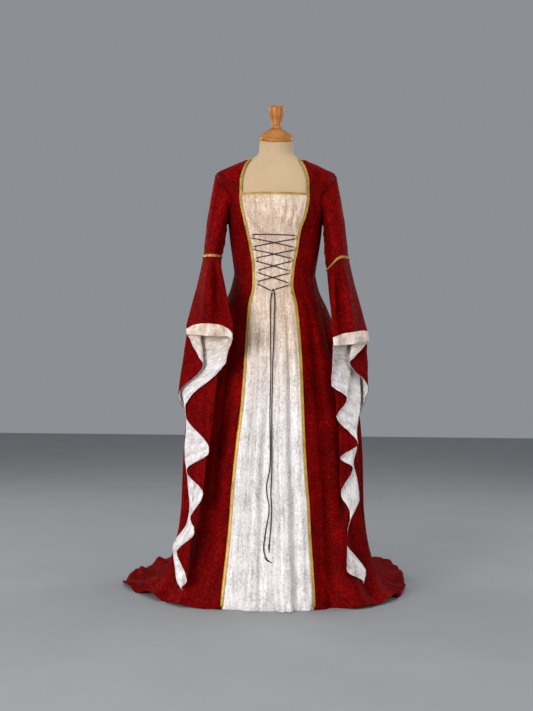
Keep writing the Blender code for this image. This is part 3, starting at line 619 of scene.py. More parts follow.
# lacing
lacing = {
    "radius": 0.0018,
    "loopLift": 0.0052,
    "laceLift": 0.0034,
    "crossLift": 0.0088,
    "endLift": 0.0040,
    "knotLift": 0.0018,
    # sideways place and height of each loop, from the top down
    "left": [(-.0730, 1.1416), (-.0674, 1.1057), (-.0598, 1.0699), (-.0522, 1.0322), (-.0537, .9961)],
    "right": [(.0608, 1.1399), (.0562, 1.1052), (.0498, 1.0701), (.0415, 1.0316), (.0407, .9930)],
    "tie": [(-.0098, .9708), (-.0024, .9748)],
    "tieLift": 0.0038,
    "tieOut": 0.0030,              # the strands run into the tie this far aside and above its ends
    "tieUp": 0.0010,
    "tieFoot": 0.0036,
    "tieRadius": 0.0030,
    "loopRun": 0.0045,             # straight part of the lace inside a loop, each way
    "loopRadius": 0.0028,
    "loopCord": 0.0008,
    "loopStretch": 4.6,            # its cord is drawn out this many times along the lace, to a band
    "turnIn": 0.0025,              # the lace bends inwards above the top loops
    "turnUp": 0.0020,
    "barRise": 0.0068,             # the bar lies this far above the top loops
    "crossedSteps": 620,
    "endSteps": 240,
    "knotSteps": 40,
    "knotRise": [0.3, 0.7, 1.0],   # a free end rises to its knot over its last places
    "knotStart": (0.0004, 0.0040),
    "knotSwells": [(0.24, 0.13, 0.95), (0.52, 0.12, 0.75)],    # place along the knot, size, height
}
laceEnds = {
    "left": {
        "route": [(-.0100, .9660), (-.0122, .9500), (-.0131, .9250), (-.0126, .8300), (-.0105, .7240),
                  (-.0120, .5850), (-.0095, .4360), (-.0202, .3615), (-.0115, .2960), (-.0220, .2300),
                  (-.0274, .1830), (-.0225, .1590)],
        "knot": [(-.0160, .1475), (-.0090, .1436), (-.0012, .1404)],
        "length": 0.825,
    },
    "right": {
        "route": [(-.0030, .9700), (-.0008, .9500), (-.0002, .9250), (-.0020, .8300), (-.0050, .7240),
                  (-.0062, .5850), (-.0042, .4360), (-.0065, .3440), (-.0040, .2960), (-.0060, .2400),
                  (-.0100, .1960)],
        "knot": [(-.0108, .1840), (-.0104, .1768), (-.0100, .1696)],
        "length": 0.780,
    },
}


def frontRoute(places):
    return frontPoint(*np.array(places, float).T)


def cordPiece(name, route, radii, node, around=10):
    return settle(linkObject(tubeMesh(name, route, radii, around), plum), node)


def buildLaceEnds():
    # the two free ends: they hang from the tie in slight curves, and end in small knots
    for side, end in laceEnds.items():
        rise = [0.0] * (len(end["route"]) - len(lacing["knotRise"])) + lacing["knotRise"]
        places = [(x, z, lacing["endLift"] + lacing["knotLift"] * more)
                  for (x, z), more in zip(end["route"], rise)]
        route = smoothRoute(frontRoute(places), lacing["endSteps"])
        lace = cordPiece("laceEnd_" + side, route, lacing["radius"], "lace_end_" + side)
        way = unit(route[-1] - route[-2])
        start = [route[-1] + way * along for along in lacing["knotStart"]]
        rest = frontRoute([(x, z, lacing["endLift"] + lacing["knotLift"]) for x, z in end["knot"]])
        knotRoute = smoothRoute(np.vstack([start, rest]), lacing["knotSteps"])
        at = np.linspace(0, 1, lacing["knotSteps"])
        swell = 0.95 - 0.12 * at
        for place, size, height in lacing["knotSwells"]:
            swell = swell + height * np.exp(-((at - place) / size) ** 2)
        knot = cordPiece("laceKnot_" + side, knotRoute, lacing["radius"] * swell, "lace_knot_" + side)
        print("lace end", side, "is", round(float(lengthsAlong(route)[-1]), 4), "m long")


buildLaceEnds()


# gown panels
# creases: start x, start z, end x, end z, width, height, bow
# pleats: share of the width at its top, its top level, share at the hem, width, height
gownPieces = {
    "centrePanel": {
        "node": "centre_panel", "finish": ivory, "columns": 84, "top": gown["stomacherLevel"], "seed": 3,
        "flat": (0.330, 1.330), "area": 0.294,
        "creases": [
            (-.094, 1.262, -.052, 1.166, .0052, .0056, .006), (-.084, 1.268, -.03, 1.15, .0046, .0066, .01),
            (-.066, 1.262, -.018, 1.17, .0052, -.0042, .006),
            (-.01, 1.244, -.014, 1.176, .006, .0036, .002), (.026, 1.262, .016, 1.19, .0052, .0046, -.003),
            (.05, 1.258, .036, 1.18, .006, .004, -.004), (.078, 1.236, .058, 1.16, .0056, .004, .004),
            (-.06, 1.15, -.04, 1.06, .005, .0026, .003), (.03, 1.15, .026, 1.01, .005, .0021, .002),
            (-.022, 1.13, -.018, 1.0, .0048, .0021, -.002), (.004, 1.08, .01, .96, .0052, .0021, .002),
            (-.04, 1.02, -.046, .9, .0052, .0024, .002),
        ],
        "pleats": [
            (.1, .99, .12, .0075, .006), (.2, 1.01, .215, .006, -.0066), (.285, .96, .29, .008, .0072),
            (.405, 1.0, .41, .0065, -.006), (.48, .97, .5, .009, .0046), (.575, 1.02, .585, .006, -.0066),
            (.725, .98, .74, .007, .007), (.8, 1.0, .82, .006, -.006), (.895, .96, .9, .008, .0058),
            (.355, .64, .35, .005, .0044), (.64, .56, .655, .005, .0044), (.155, .52, .165, .0048, .0036),
        ],
    },
    "frontRight": {
        "node": "front_right", "finish": red, "columns": 64, "top": gown["neckLevel"], "seed": 5,
        "flat": (0.420, 1.450), "area": 0.352,
        "creases": [
            (.152, 1.33, .14, 1.215, .008, .0022, .004), (.166, 1.29, .15, 1.19, .007, -.002, .004),
            (.128, 1.25, .118, 1.13, .009, .0018, -.004), (.14, 1.17, .112, 1.06, .0085, .0022, .004),
            (.108, 1.12, .096, 1.01, .008, -.0016, .003), (.12, 1.04, .14, .9, .009, .0022, .004),
            (.112, 1.3, .12, 1.21, .009, .0014, .004),
        ],
        "pleats": [
            (.14, .94, .13, .009, .004), (.24, 1.0, .235, .0075, -.004), (.42, .96, .43, .0095, .005),
            (.52, .9, .52, .008, -.0046), (.6, .98, .61, .009, .004), (.76, .93, .77, .01, .0056),
            (.88, .9, .88, .0085, -.0044), (.33, .56, .32, .007, .0034), (.7, .5, .69, .007, .0034),
        ],
    },
    "frontLeft": {
        "node": "front_left", "finish": red, "columns": 64, "top": gown["neckLevel"], "seed": 8,
        "flat": (0.420, 1.450), "area": 0.332,
        "creases": [
            (-.16, 1.32, -.142, 1.21, .008, .0022, -.004), (-.17, 1.28, -.152, 1.195, .007, -.0018, -.004),
            (-.13, 1.26, -.124, 1.14, .009, .0016, .004), (-.142, 1.16, -.12, 1.06, .0085, .0022, -.004),
            (-.116, 1.11, -.104, 1.0, .008, -.0016, -.003), (-.126, 1.05, -.146, .91, .009, .0022, -.004),
            (-.118, 1.32, -.124, 1.23, .009, .0014, -.004),
        ],
        "pleats": [
            (.86, .95, .87, .009, .004), (.75, 1.0, .76, .0075, -.004), (.59, .95, .57, .0095, .005),
            (.47, .91, .48, .008, -.0046), (.38, .98, .39, .009, .0042), (.23, .94, .22, .01, .0054),
            (.11, .89, .12, .0085, -.0044), (.66, .54, .68, .007, .0034), (.3, .48, .3, .007, .0036),
        ],
    },
    "backRight": {
        "node": "back_right", "finish": red, "columns": 88, "top": gown["neckLevel"], "seed": 11,
        "flat": (0.950, 1.850), "area": 0.720,
        "creases": [
            (.15, 1.31, .128, 1.21, .008, .0022, -.004), (.11, 1.23, .09, 1.1, .009, .0018, .004),
            (.128, 1.13, .1, 1.04, .008, .0022, -.004), (.06, 1.14, .05, 1.01, .0085, -.0016, .003),
            (.09, 1.05, .112, .92, .009, .0024, .004), (.04, 1.33, .046, 1.23, .009, .0014, .003),
        ],
        "pleats": [
            (.08, .93, .07, .01, .0046), (.165, .98, .16, .0085, -.0044), (.31, .94, .3, .0105, .0054),
            (.4, .96, .395, .0085, -.0046), (.56, .92, .56, .011, .0056), (.64, .97, .65, .0085, -.0046),
            (.81, .94, .82, .0105, .0054), (.9, .96, .9, .008, -.004), (.24, .5, .225, .009, .0046),
            (.47, .46, .48, .009, .0046), (.72, .52, .735, .009, .0046),
        ],
    },
    "backLeft": {
        "node": "back_left", "finish": red, "columns": 88, "top": gown["neckLevel"], "seed": 14,
        "flat": (0.950, 1.850), "area": 0.720,
        "creases": [
            (-.152, 1.3, -.13, 1.205, .008, .0022, .004), (-.108, 1.22, -.092, 1.11, .009, .0018, -.004),
            (-.126, 1.14, -.098, 1.03, .008, .0022, .004), (-.062, 1.15, -.052, 1.02, .0085, -.0016, -.003),
            (-.092, 1.04, -.114, .91, .009, .0024, -.004), (-.042, 1.34, -.048, 1.24, .009, .0014, -.003),
        ],
        "pleats": [
            (.92, .94, .93, .01, .0046), (.835, .97, .845, .0085, -.0044), (.7, .93, .71, .0105, .0054),
            (.6, .95, .595, .0085, -.0046), (.45, .93, .44, .011, .0056), (.35, .98, .345, .0085, -.0046),
            (.2, .93, .185, .0105, .0054), (.1, .95, .105, .008, -.004), (.77, .48, .765, .009, .0046),
            (.52, .5, .51, .009, .0046), (.27, .47, .27, .009, .0046),
        ],
    },
}


def pleatHeight(share, level, width, places):
    total = np.zeros_like(width)
    for topShare, topLevel, hemShare, size, height in places:
        t = np.clip(1 - level / topLevel, 0, 1)
        line = mix(topShare, hemShare, t) + 0.012 * np.sin(7 * level + 40 * topShare)
        off = (share - line) * width
        grown = size * (0.7 + 0.9 * t)
        swell = np.where(off > 0, off / grown, off / (grown * 1.5))
        total = total + height * np.exp(-swell ** 2) * ease(0.0, 0.22, t) * (0.6 + 0.6 * t)
    return total


panelRelief = {
    "rowStep": 0.0062,
    "hemRows": 60,
    "freeFrom": 0.014,             # pleats, creases and waves fade out this close to a seam
    "creasesAbove": 0.86,
    "waves": (0.050, 0.0016),      # size, height
    "lowWaves": (0.120, 0.0050),
    "lowWavesBetween": (0.15, 0.75),
    "grooveWidth": 0.0022,
    "grooveDepth": 0.0010,
    "grooveTop": 1.28,
    # pitch, push, the push's rate, height, and the levels between which they fade: on the floor
    # the ivory hem breaks in small crinkles, and the red hems lie in low scallops
    "crinkles": (0.034, 2.5, 31, 0.0075, (0.010, 0.055)),
    "scallops": (0.075, 2.0, 17, 0.0065, (0.004, 0.060)),
}


def panelSurface(name, look):
    relief, top, knee, seed = panelRelief, look["top"], gown["kneeLevel"], look["seed"]
    upperRows = int((top - knee) / relief["rowStep"])
    levels = np.concatenate([np.linspace(top, knee, upperRows, endpoint=False),
                             np.linspace(knee, 0, relief["hemRows"])])
    level, share = levels[:, None], np.linspace(0, 1, look["columns"])[None]
    across = lengthsAlong(panelPoint(name, share, level).transpose(1, 0, 2)).T
    width = across[:, -1:]
    inset = gown["seamGap"] / 2 / width
    share = inset + (1 - 2 * inset) * share
    level = np.broadcast_to(level, share.shape)
    plain = panelPoint(name, share, level)
    edge = np.minimum(share, 1 - share) * width
    lift = pleatHeight(share, level, np.broadcast_to(width, share.shape), look["pleats"])
    lift = lift + creases(plain[..., 0], plain[..., 2], look["creases"]) * (level > relief["creasesAbove"])
    lift = lift + wander(seed, across, level, *relief["waves"])
    low = 1 - ease(*relief["lowWavesBetween"], level)
    lift = lift + wander(seed + 1, across, level, *relief["lowWaves"]) * low
    kind, shift = ("crinkles", 0) if name == "centrePanel" else ("scallops", seed)
    pitch, push, rate, height, between = relief[kind]
    wave = np.sin(across * 2 * math.pi / pitch + push * np.sin(across * rate + shift)) * 0.5 + 0.5
    lift = (lift + wave * height * (1 - ease(*between, level))) * ease(0.0, relief["freeFrom"], edge)
    groove = np.exp(-(edge / relief["grooveWidth"]) ** 2) * (level < relief["grooveTop"])
    lift = lift - relief["grooveDepth"] * groove
    points = plain + gownNormal(panelAngle(name, share, level), level) * lift[..., None]
    points[..., 2] = np.maximum(points[..., 2], 0.0)
    return points, across - width / 2


def buildGown():
    made = {}
    for name, look in gownPieces.items():
        points, across = panelSurface(name, look)
        mesh = gridMesh(name, points, across=across)
        made[name] = addWall(linkObject(mesh, look["finish"]), gown["cloth"])
        settle(made[name], look["node"])
        print(name, "made:", len(mesh.polygons), "faces")
    return made


gownMade = buildGown()


# sleeves
# turns of a bell's wall: elbow angle, layer's place from back to front, distance from the pole
# sideways at cuff level and at the hem, hem level. Outer folds, at distance 0, follow outerEdge,
# or at the hem tailEdge where their last distance is 1. The edges: level, distance from the pole
bells = {
    "right": {
        "sign": 1, "out": .2010, "forward": .050, "halfWidth": .0335, "halfDepth": .054, "drop": .042,
        "cuffLevel": .840, "area": 0.46, "liningArea": 0.375, "cuffArea": .0083, "upperArea": .067,
        "turns": [
            (46, 14.0, .290, .292, .816), (-50, 14.2, .176, .179, .800), (-64, 9.3, .181, .174, .681),
            (-74, 8.40, .250, .224, .634), (-84, 7.45, .190, .193, .582), (-94, 6.50, 0, 0, .497),
            (-104, 5.55, .196, .204, .455), (-114, 4.60, .248, .244, .422), (-124, 3.65, .196, .207, .350),
            (-134, 2.70, 0, 0, .255), (-143, 1.75, .206, .2255, .120), (-160, 1.05, 0, 1, .076),
            (-188, 0.00, 0, 1, .118), (-224, 0.90, 0, 0, .560), (-262, 10.4, .286, .2925, .671),
            (-296, 11.4, .246, .232, .748),
        ],
        "outerEdge": [(.840, .258), (.640, .272), (.560, .262), (.520, .257), (.485, .2614), (.436, .2500),
                      (.384, .2610), (.3275, .2676), (.297, .2530), (.258, .2345), (.225, .2300)],
        "tailEdge": [(.3275, .2676), (.297, .2490), (.258, .2288), (.225, .2245), (.197, .2243),
                     (.187, .2285), (.142, .2640), (.109, .2852), (.090, .2840), (.076, .2780)],
        "cuffTop": [(0, .843), (.12, .845), (.45, .840), (.75, .833), (1, .822)],
        "cuffHem": [(0, .816), (.3, .809), (.6, .804), (1, .800)],
    },
    "left": {
        "sign": -1, "out": .2010, "forward": .050, "halfWidth": .0275, "halfDepth": .056, "drop": 0.0,
        "cuffLevel": .856, "area": 0.55, "liningArea": 0.46, "cuffArea": .0094, "upperArea": .062,
        "turns": [
            (46, 14.0, .274, .271, .831), (-50, 14.2, .128, .127, .817), (-68, 9.3, .137, .146, .770),
            (-79, 8.40, 0, 0, .583), (-90, 7.30, .158, .196, .472), (-102, 6.20, 0, 0, .407),
            (-114, 5.10, .170, .214, .345), (-119, 4.70, .206, .251, .266), (-123, 4.30, .216, .236, .234),
            (-127, 4.00, 0, 0, .166), (-140, 2.90, .192, .258, .080),
            (-155, 1.90, 0, 1, .053), (-182, 0.80, 0, 1, .178), (-224, 1.70, 0, 0, .560),
            (-262, 10.4, .270, .297, .6435), (-296, 11.4, .232, .218, .737),
        ],
        "outerEdge": [(.856, .252), (.700, .276), (.650, .284), (.585, .273), (.446, .2735), (.409, .2665),
                      (.356, .2620), (.300, .2556), (.250, .262), (.205, .280), (.166, .2925)],
        "tailEdge": [(.300, .2556), (.250, .263), (.2226, .280), (.190, .304), (.176, .309), (.150, .306),
                     (.119, .300), (.077, .292), (.053, .274)],
        "cuffTop": [(0, .845), (.15, .856), (.40, .861), (.65, .859), (.84, .851), (.93, .843), (1, .830)],
        "cuffHem": [(0, .831), (.25, .829), (.60, .826), (.85, .826), (1, .817)],
    },
}
sleeve = {
    "upperCloth": 0.0015,
    "bellCloth": 0.0013,
    "liningCloth": 0.0010,
    "cuffCloth": 0.0012,
    "flat": (1.15, 1.00),          # each piece's cloth when it lies flat
    "liningFlat": (1.15, .70),
    "cuffFlat": (.20, .09),
    "upperFlat": (.32, .27),
    "elbowLevel": 1.080,
    "layer": 0.0075,               # one layer of the fall to the next
    "flank": math.radians(30),     # the way the skirt's side faces, where the sleeves lie on it
    "rest": [(1.080, .118), (.840, .166), (.060, .333)],     # level, reach of the rearmost layer
    "relief": [(0, 0), (.20, .50), (.46, 1.30), (.70, -1.00), (.86, .65), (1, 0)],
    "ridge": [(0, 0), (.20, .004), (.46, .014), (.56, .004), (.72, -.012), (.88, .002), (1, 0)],
    "ringShares": [(0, 0), (.14, .20), (.86, .80), (1, 1)],
    "foldShare": 0.14,             # part of a layer that is its turn
    "foldDepth": 0.45,             # the turn's shares of the layer's depth and width
    "foldReach": 0.30,
    "liningFrom": 0.72,            # the lining starts this far down from elbow to cuff level
    "hemSway": 0.05,
    "hemOver": 0.0005,             # the front's hem ends this far above the cuff's
    "edgeStep": 0.0004,            # an outer fold stands in by this for each layer behind the front one
    "frontLayer": 8.4,
    "dropBetween": (.158, .210),   # distances from the pole between which an elbow drops
    "bulge": 0.004,
    "frontSteps": 44,
    "layerSteps": [0, .035, .07, .105, .14, .23, .32, .41, .5, .59, .68, .77, .86, .895, .93, .965],
    "bellRows": (28, 48),          # down to cuff level, and from there to the hem
    "sway": 0.0012,
    "waves": (0.03, 0.0016),       # size, height
    "crush": (0.026, 0.0032, 1.6),           # size, height, stretch
    "cuffRows": 26,
    "cuffOver": 0.0016,            # from the bell's outer side to the middle of the cuff's cloth
    "cuffUnder": 0.0024,
    "cuffTurnIn": 0.0012,          # its top edge turns in to the bell by this
    "cuffTurnSteps": 9,
    "cuffInside": 10,              # rows that it runs up inside
    "cuffWaves": [(0.047, 0.0008, 1.2), (0.021, 0.0004, 0.0)],     # pitch, height, phase
    "upperRows": 60,
    "upperColumns": 96,
    "armholeRoom": 0.0010,
    "shoulderRoom": (.003, .009),  # how far a fitted sleeve stands off its armhole, on top and below
    "upperWaves": (0.05, 0.0012),
    "lean": 0.0004,                # how far a fitted sleeve stands out towards one side
    "leanTo": math.radians(200),
    # wrinkles of the fitted sleeves: place down the sleeve, lean, place round it, width, height
    "creases": [
        (.14, .09, 2.6, .048, .0018), (.24, -.10, 2.2, .042, .0016), (.36, .10, 3.3, .050, -.0012),
        (.52, .06, 1.3, .050, .0014), (.70, -.09, 2.7, .054, .0012), (.80, .07, 3.6, .052, .0010),
        (.86, -.06, 1.9, .044, .0014), (.91, .05, 0.9, .036, -.0010), (.62, -.05, 5.0, .050, .0010),
    ],
}


def elbowPoint(look, ring, drop=0.0):
    angle = np.radians(ring)
    out = look["out"] + look["halfWidth"] * np.sin(angle)
    level = sleeve["elbowLevel"] - look["drop"] * (1 - ease(*sleeve["dropBetween"], out))
    return stack(out, -look["forward"] - look["halfDepth"] * np.cos(angle), level - drop)


def flankPoint(out, reach, level):
    flank = sleeve["flank"]
    return stack(out, out * math.tan(flank) - reach / math.cos(flank), level)


def hairpinShare(t, width, depth):
    # shares of a layer's width and depth at t, with round turns at its folds
    t = np.asarray(t, float)
    near = np.minimum(t, 1 - t)
    turn = np.minimum(near / sleeve["foldShare"], 1.0) * math.pi / 2
    reach = min(sleeve["foldDepth"] * abs(depth), sleeve["foldReach"] * abs(width)) / max(abs(width), 1e-6)
    straight = np.maximum(near - sleeve["foldShare"], 0.0) / (0.5 - sleeve["foldShare"])
    across = mix(reach * (1 - np.cos(turn)), 0.5, straight)
    along = mix(sleeve["foldDepth"] * np.sin(turn), 0.5, straight)
    return np.where(t > 0.5, 1 - across, across), np.where(t > 0.5, 1 - along, along)


def bellColumns(look):
    # columns round a bell: elbow angle, layer place, the turns it lies between and its share, hem level
    turns, columns = look["turns"], []
    frontShares = np.linspace(0, 1, sleeve["frontSteps"], endpoint=False)
    for i, turn in enumerate(turns):
        after = turns[i + 1] if i + 1 < len(turns) else (turns[0][0] - 360, *turns[0][1:])
        t = np.array(sleeve["layerSteps"]) if i else frontShares
        width = sidewaysPlace(look, after, look["cuffLevel"]) - sidewaysPlace(look, turn, look["cuffLevel"])
        depth = (after[1] - turn[1]) * sleeve["layer"]
        across, along = t, t
        if i and abs(depth) < abs(width):
            across, along = hairpinShare(t, width, depth)
        relief = smoothTable(sleeve["relief"], 1, t) if i == 0 else 0 * t
        ring = mix(turn[0], after[0], smoothTable(sleeve["ringShares"], 1, t) if i else t)
        drop = mix(across, t, 0.75) + sleeve["hemSway"] * np.sin(2 * math.pi * t)   # rounds the hem's tips
        hem = mix(turn[4], after[4], drop) if i else smoothTable(look["cuffHem"], 1, t) + sleeve["hemOver"]
        columns.append(np.stack([ring, mix(turn[1], after[1], along) + relief, across, hem, i + t], axis=-1))
    return np.vstack(columns)


def sidewaysPlace(look, turn, level):
    # how far sideways a turn stands at a level; an outer fold follows the sleeve's outer edge
    if turn[2] == 0:
        level, tail = np.asarray(level, float), look["tailEdge"]
        edge = smoothTable(look["outerEdge"], 1, level)
        if turn[3] == 1:
            edge = np.where(level < tail[0][0], smoothTable(tail, 1, level), edge)
        return edge - (sleeve["frontLayer"] - turn[1]) * sleeve["edgeStep"]
    t = np.clip((look["cuffLevel"] - level) / (look["cuffLevel"] - turn[4]), 0, 1)
    return mix(turn[2], turn[3], t)


def bellSurface(look, columns, upper, lower):
    # rows from elbow (upper 0) to cuff level (upper 1), then to the hem (lower 1)
    ring, slot, across, hemLevel, place = columns.T
    cuffLevel, turns = look["cuffLevel"], look["turns"]
    top = elbowPoint(look, ring)
    flank, rest = sleeve["flank"], sleeve["rest"]
    topReach = top[:, 0] * math.sin(flank) - top[:, 1] * math.cos(flank)
    t = lower[:, None]
    level = mix(cuffLevel, hemLevel, t)
    starts = np.minimum(place.astype(int), len(turns) - 1)
    out = np.zeros_like(level)
    for i, turn in enumerate(turns):
        here = starts == i
        between = [sidewaysPlace(look, end, level[:, here]) for end in (turn, turns[(i + 1) % len(turns)])]
        out[:, here] = mix(*between, across[here])
    below = flankPoint(out, smoothTable(rest, 1, level) + slot * sleeve["layer"], level)
    onset = 1 + 0.5 * ease(-50, -64, ring) * (1 - ease(-160, -186, ring))
    t = upper[:, None]
    reach = mix(topReach, smoothTable(rest, 1, np.array(cuffLevel)) + slot * sleeve["layer"], t)
    above = flankPoint(mix(top[:, 0], out[0], t ** onset), reach, mix(top[:, 2], cuffLevel, t))
    points = np.concatenate([above, below[1:]])
    points[..., 0] *= look["sign"]
    return points


def bellRelief(sign, place, down, grown):
    # low relief: a slow sway, waves and a ridge on the front, crushed cloth on the fall
    sway = np.sin(place * 2.1 + 2.4 * down + sign) * np.sin(place * 0.7 + 3.1 * down) * sleeve["sway"]
    waves = wander(31, place * 0.05, -down * 0.3, *sleeve["waves"])
    crush = wander(43 + sign, grown, -0.40 * down, *sleeve["crush"])
    ridge = smoothTable(sleeve["ridge"], 1, np.clip(place, 0, 1)) * (place < 1)
    return (sway * ease(0.1, 0.6, down) + waves * ease(1.0, 0.8, place) * ease(0.0, 0.2, place)
            + ridge * ease(0.0, 0.35, down) * (1 - 0.7 * ease(0.6, 1.0, down))
            + crush * ease(1.10, 1.6, place) * ease(0.8, 1.1, down))


def buildBells():
    cloth, inside, gap = sleeve["bellCloth"], sleeve["liningCloth"], gown["seamGap"]
    for side, look in bells.items():
        columns = bellColumns(look)[::-look["sign"]]
        upper, lower = (np.linspace(0, 1, rows) for rows in sleeve["bellRows"])
        points = bellSurface(look, columns, upper, lower)
        place, down = columns[:, 4][None], np.concatenate([upper, 1 + lower[1:]])[:, None]
        grown = lengthsAlong(points[-1])[None]
        lift = bellRelief(look["sign"], place, down, grown)
        points = points + gridNormals(points, closed=True) * lift[..., None]
        across = np.broadcast_to(grown, points.shape[:2])
        first = int(len(upper) * sleeve["liningFrom"])
        bell = gridMesh("bellOuter_" + side, points, closed=True, across=across)
        lining = gridMesh("bellLining_" + side, points[first:], closed=True, across=across[first:])
        cuff = cuffMesh("cuffBand_" + side, look, points, columns)
        sleeveMade[side] = [
            settle(addWall(linkObject(mesh, finish), thickness, offset), node + side)
            for mesh, finish, thickness, offset, node in (
                (bell, red, cloth, beyond(cloth, gap / 2), "bell_"),
                (lining, ivoryInside, inside, -beyond(inside, gap), "bell_lining_"),
                (cuff, ivoryInside, sleeve["cuffCloth"], 0.0, "cuff_"))]
        print("bell sleeve", side, "made")


def cuffMesh(name, look, points, columns):
    # the lining turned up over the bell's front: it wraps round the hem and up to the band's top
    front, count = np.where(columns[:, 4] <= 1.0)[0], sleeve["cuffRows"]
    tops = smoothTable(look["cuffTop"], 1, columns[front, 4])
    hems = smoothTable(look["cuffHem"], 1, columns[front, 4])
    band = np.zeros((count, len(front), 3))
    for k, column in enumerate(front):
        level = np.linspace(tops[k], hems[k], count)
        line = points[::-1, column]
        for axis in range(3):
            band[:, k, axis] = np.interp(level, line[:, 2], line[:, axis])
        band[:, k, 2] = level
    normals = gridNormals(band)
    if normals[0, len(front) // 2, 1] > 0:
        normals = -normals
    outer, inner = sleeve["bellCloth"] + sleeve["cuffOver"], -sleeve["cuffUnder"]
    middle, radius = (outer + inner) / 2, (outer - inner) / 2
    tip, way = band[-1], unit(band[-1] - band[-3])
    inside = slice(-2, -2 - sleeve["cuffInside"], -1)
    rows = [band[0] + normals[0] * (outer - sleeve["cuffTurnIn"]), *(band + normals * outer)]
    for angle in np.linspace(0, math.pi, sleeve["cuffTurnSteps"])[1:]:
        rows.append(tip + normals[-1] * (middle + radius * math.cos(angle)) + way * radius * math.sin(angle))
    cuff = np.array(rows + [*(band[inside] + normals[inside] * inner)])
    across = lengthsAlong(cuff[1])
    slack = sum(height * np.sin(across * 2 * math.pi / pitch + phase)
                for pitch, height, phase in sleeve["cuffWaves"])
    cuff[2:-sleeve["cuffInside"]] += normals[count // 2] * slack[:, None]
    return gridMesh(name, cuff, across=np.broadcast_to(across, cuff.shape[:2]))


def buildUpperSleeves():
    middle = (gown["tipLevel"] + gown["armpitLevel"]) / 2
    half = gown["tipLevel"] - middle
    shrink = 1 - (sleeve["upperCloth"] + sleeve["armholeRoom"]) / half
    steps = np.linspace(0, 1, sleeve["upperRows"])
    for side, look in bells.items():
        sign = look["sign"]
        place = np.linspace(0, 2 * math.pi, sleeve["upperColumns"], endpoint=False)
        place = np.where(place > math.pi, place - 2 * math.pi, place)
        level = middle + half * np.cos(place)
        opening = -np.sign(place) * armholeAngle(level)
        start = gownBase(math.pi / 2 + opening * shrink, mix(middle, level, shrink))
        ring = math.pi / 2 - place
        end = elbowPoint(look, np.degrees(ring))
        end[:, 2] += 4 * gown["seamGap"]
        clear = start + stack(mix(*sleeve["shoulderRoom"], 0.5 - 0.5 * np.cos(place)), 0, 0)
        way = stack(np.sin(ring), -np.cos(ring), 0)
        rows = [start, mix(start, clear, 0.4), mix(start, clear, 0.8)]
        rows += [mix(clear, end, t) + way * 4 * t * (1 - t) * sleeve["bulge"] for t in steps]
        points = np.array(rows)[:, ::-sign] * np.array([sign, 1, 1])
        place, t = place[::-sign][None], np.concatenate([np.zeros(3), steps])[:, None]
        lift = wander(17 + sign, place * 0.05, t * 0.25, *sleeve["upperWaves"])
        lift = lift + sleeve["lean"] * np.cos(place - sleeve["leanTo"])
        for at, lean, turn, size, height in sleeve["creases"]:
            facing = np.cos(place - turn)
            lift = lift + height * np.exp(-((t - at - lean * facing) / size) ** 2) * (0.5 + 0.5 * facing)
        lift = lift * ease(0.0, 0.12, t) * ease(1.0, 0.93, t)
        points = points + gridNormals(points, closed=True) * lift[..., None]
        around = np.broadcast_to(lengthsAlong(points[len(points) // 2]), points.shape[:2])
        mesh = gridMesh("sleeveUpper_" + side, points, closed=True, across=around)
        piece = addWall(linkObject(mesh, red), sleeve["upperCloth"])
        sleeveMade[side].append(settle(piece, "sleeve_upper_" + side))
        print("fitted sleeve", side, "made")


sleeveMade = {}
buildBells()
buildUpperSleeves()


# braid: a band with plaited gold grains and a cord on each edge, laid by Geometry Nodes
braid = {
    "width": 0.0088,
    "thick": 0.0012,
    "lift": 0.0006,
    "topWidth": 0.0070,
    "elbowWidth": 0.0080,
    "pitch": 0.0026,
    "slant": math.radians(34),
    "grainLength": 0.0052,
    "grainWidth": 0.0023,
    "grainHeight": 0.0013,
    "edgeRadius": 0.00055,
    "grainPlace": 0.42,            # shares of the half width
    "edgePlace": 0.93,
    "bandPlaces": [-1, -.8, -.4, 0, .4, .8, 1],
    "bandShare": 0.97,
    "frontRows": (330, 90),        # down to the knee, and from there to the foot
    "footLevel": 0.012,
    "neckSteps": 40,
    "neckGap": 0.05,               # share of a front's top that the neck's braid leaves free
    "neckDown": 0.013,
    "topSteps": 90,
    "topShares": (0.038, 0.962),
    "elbowSteps": 140,
    "elbowEdges": [(-.0036, .0027), (.0042, .0042)],     # drop, and distance out of the seam
}


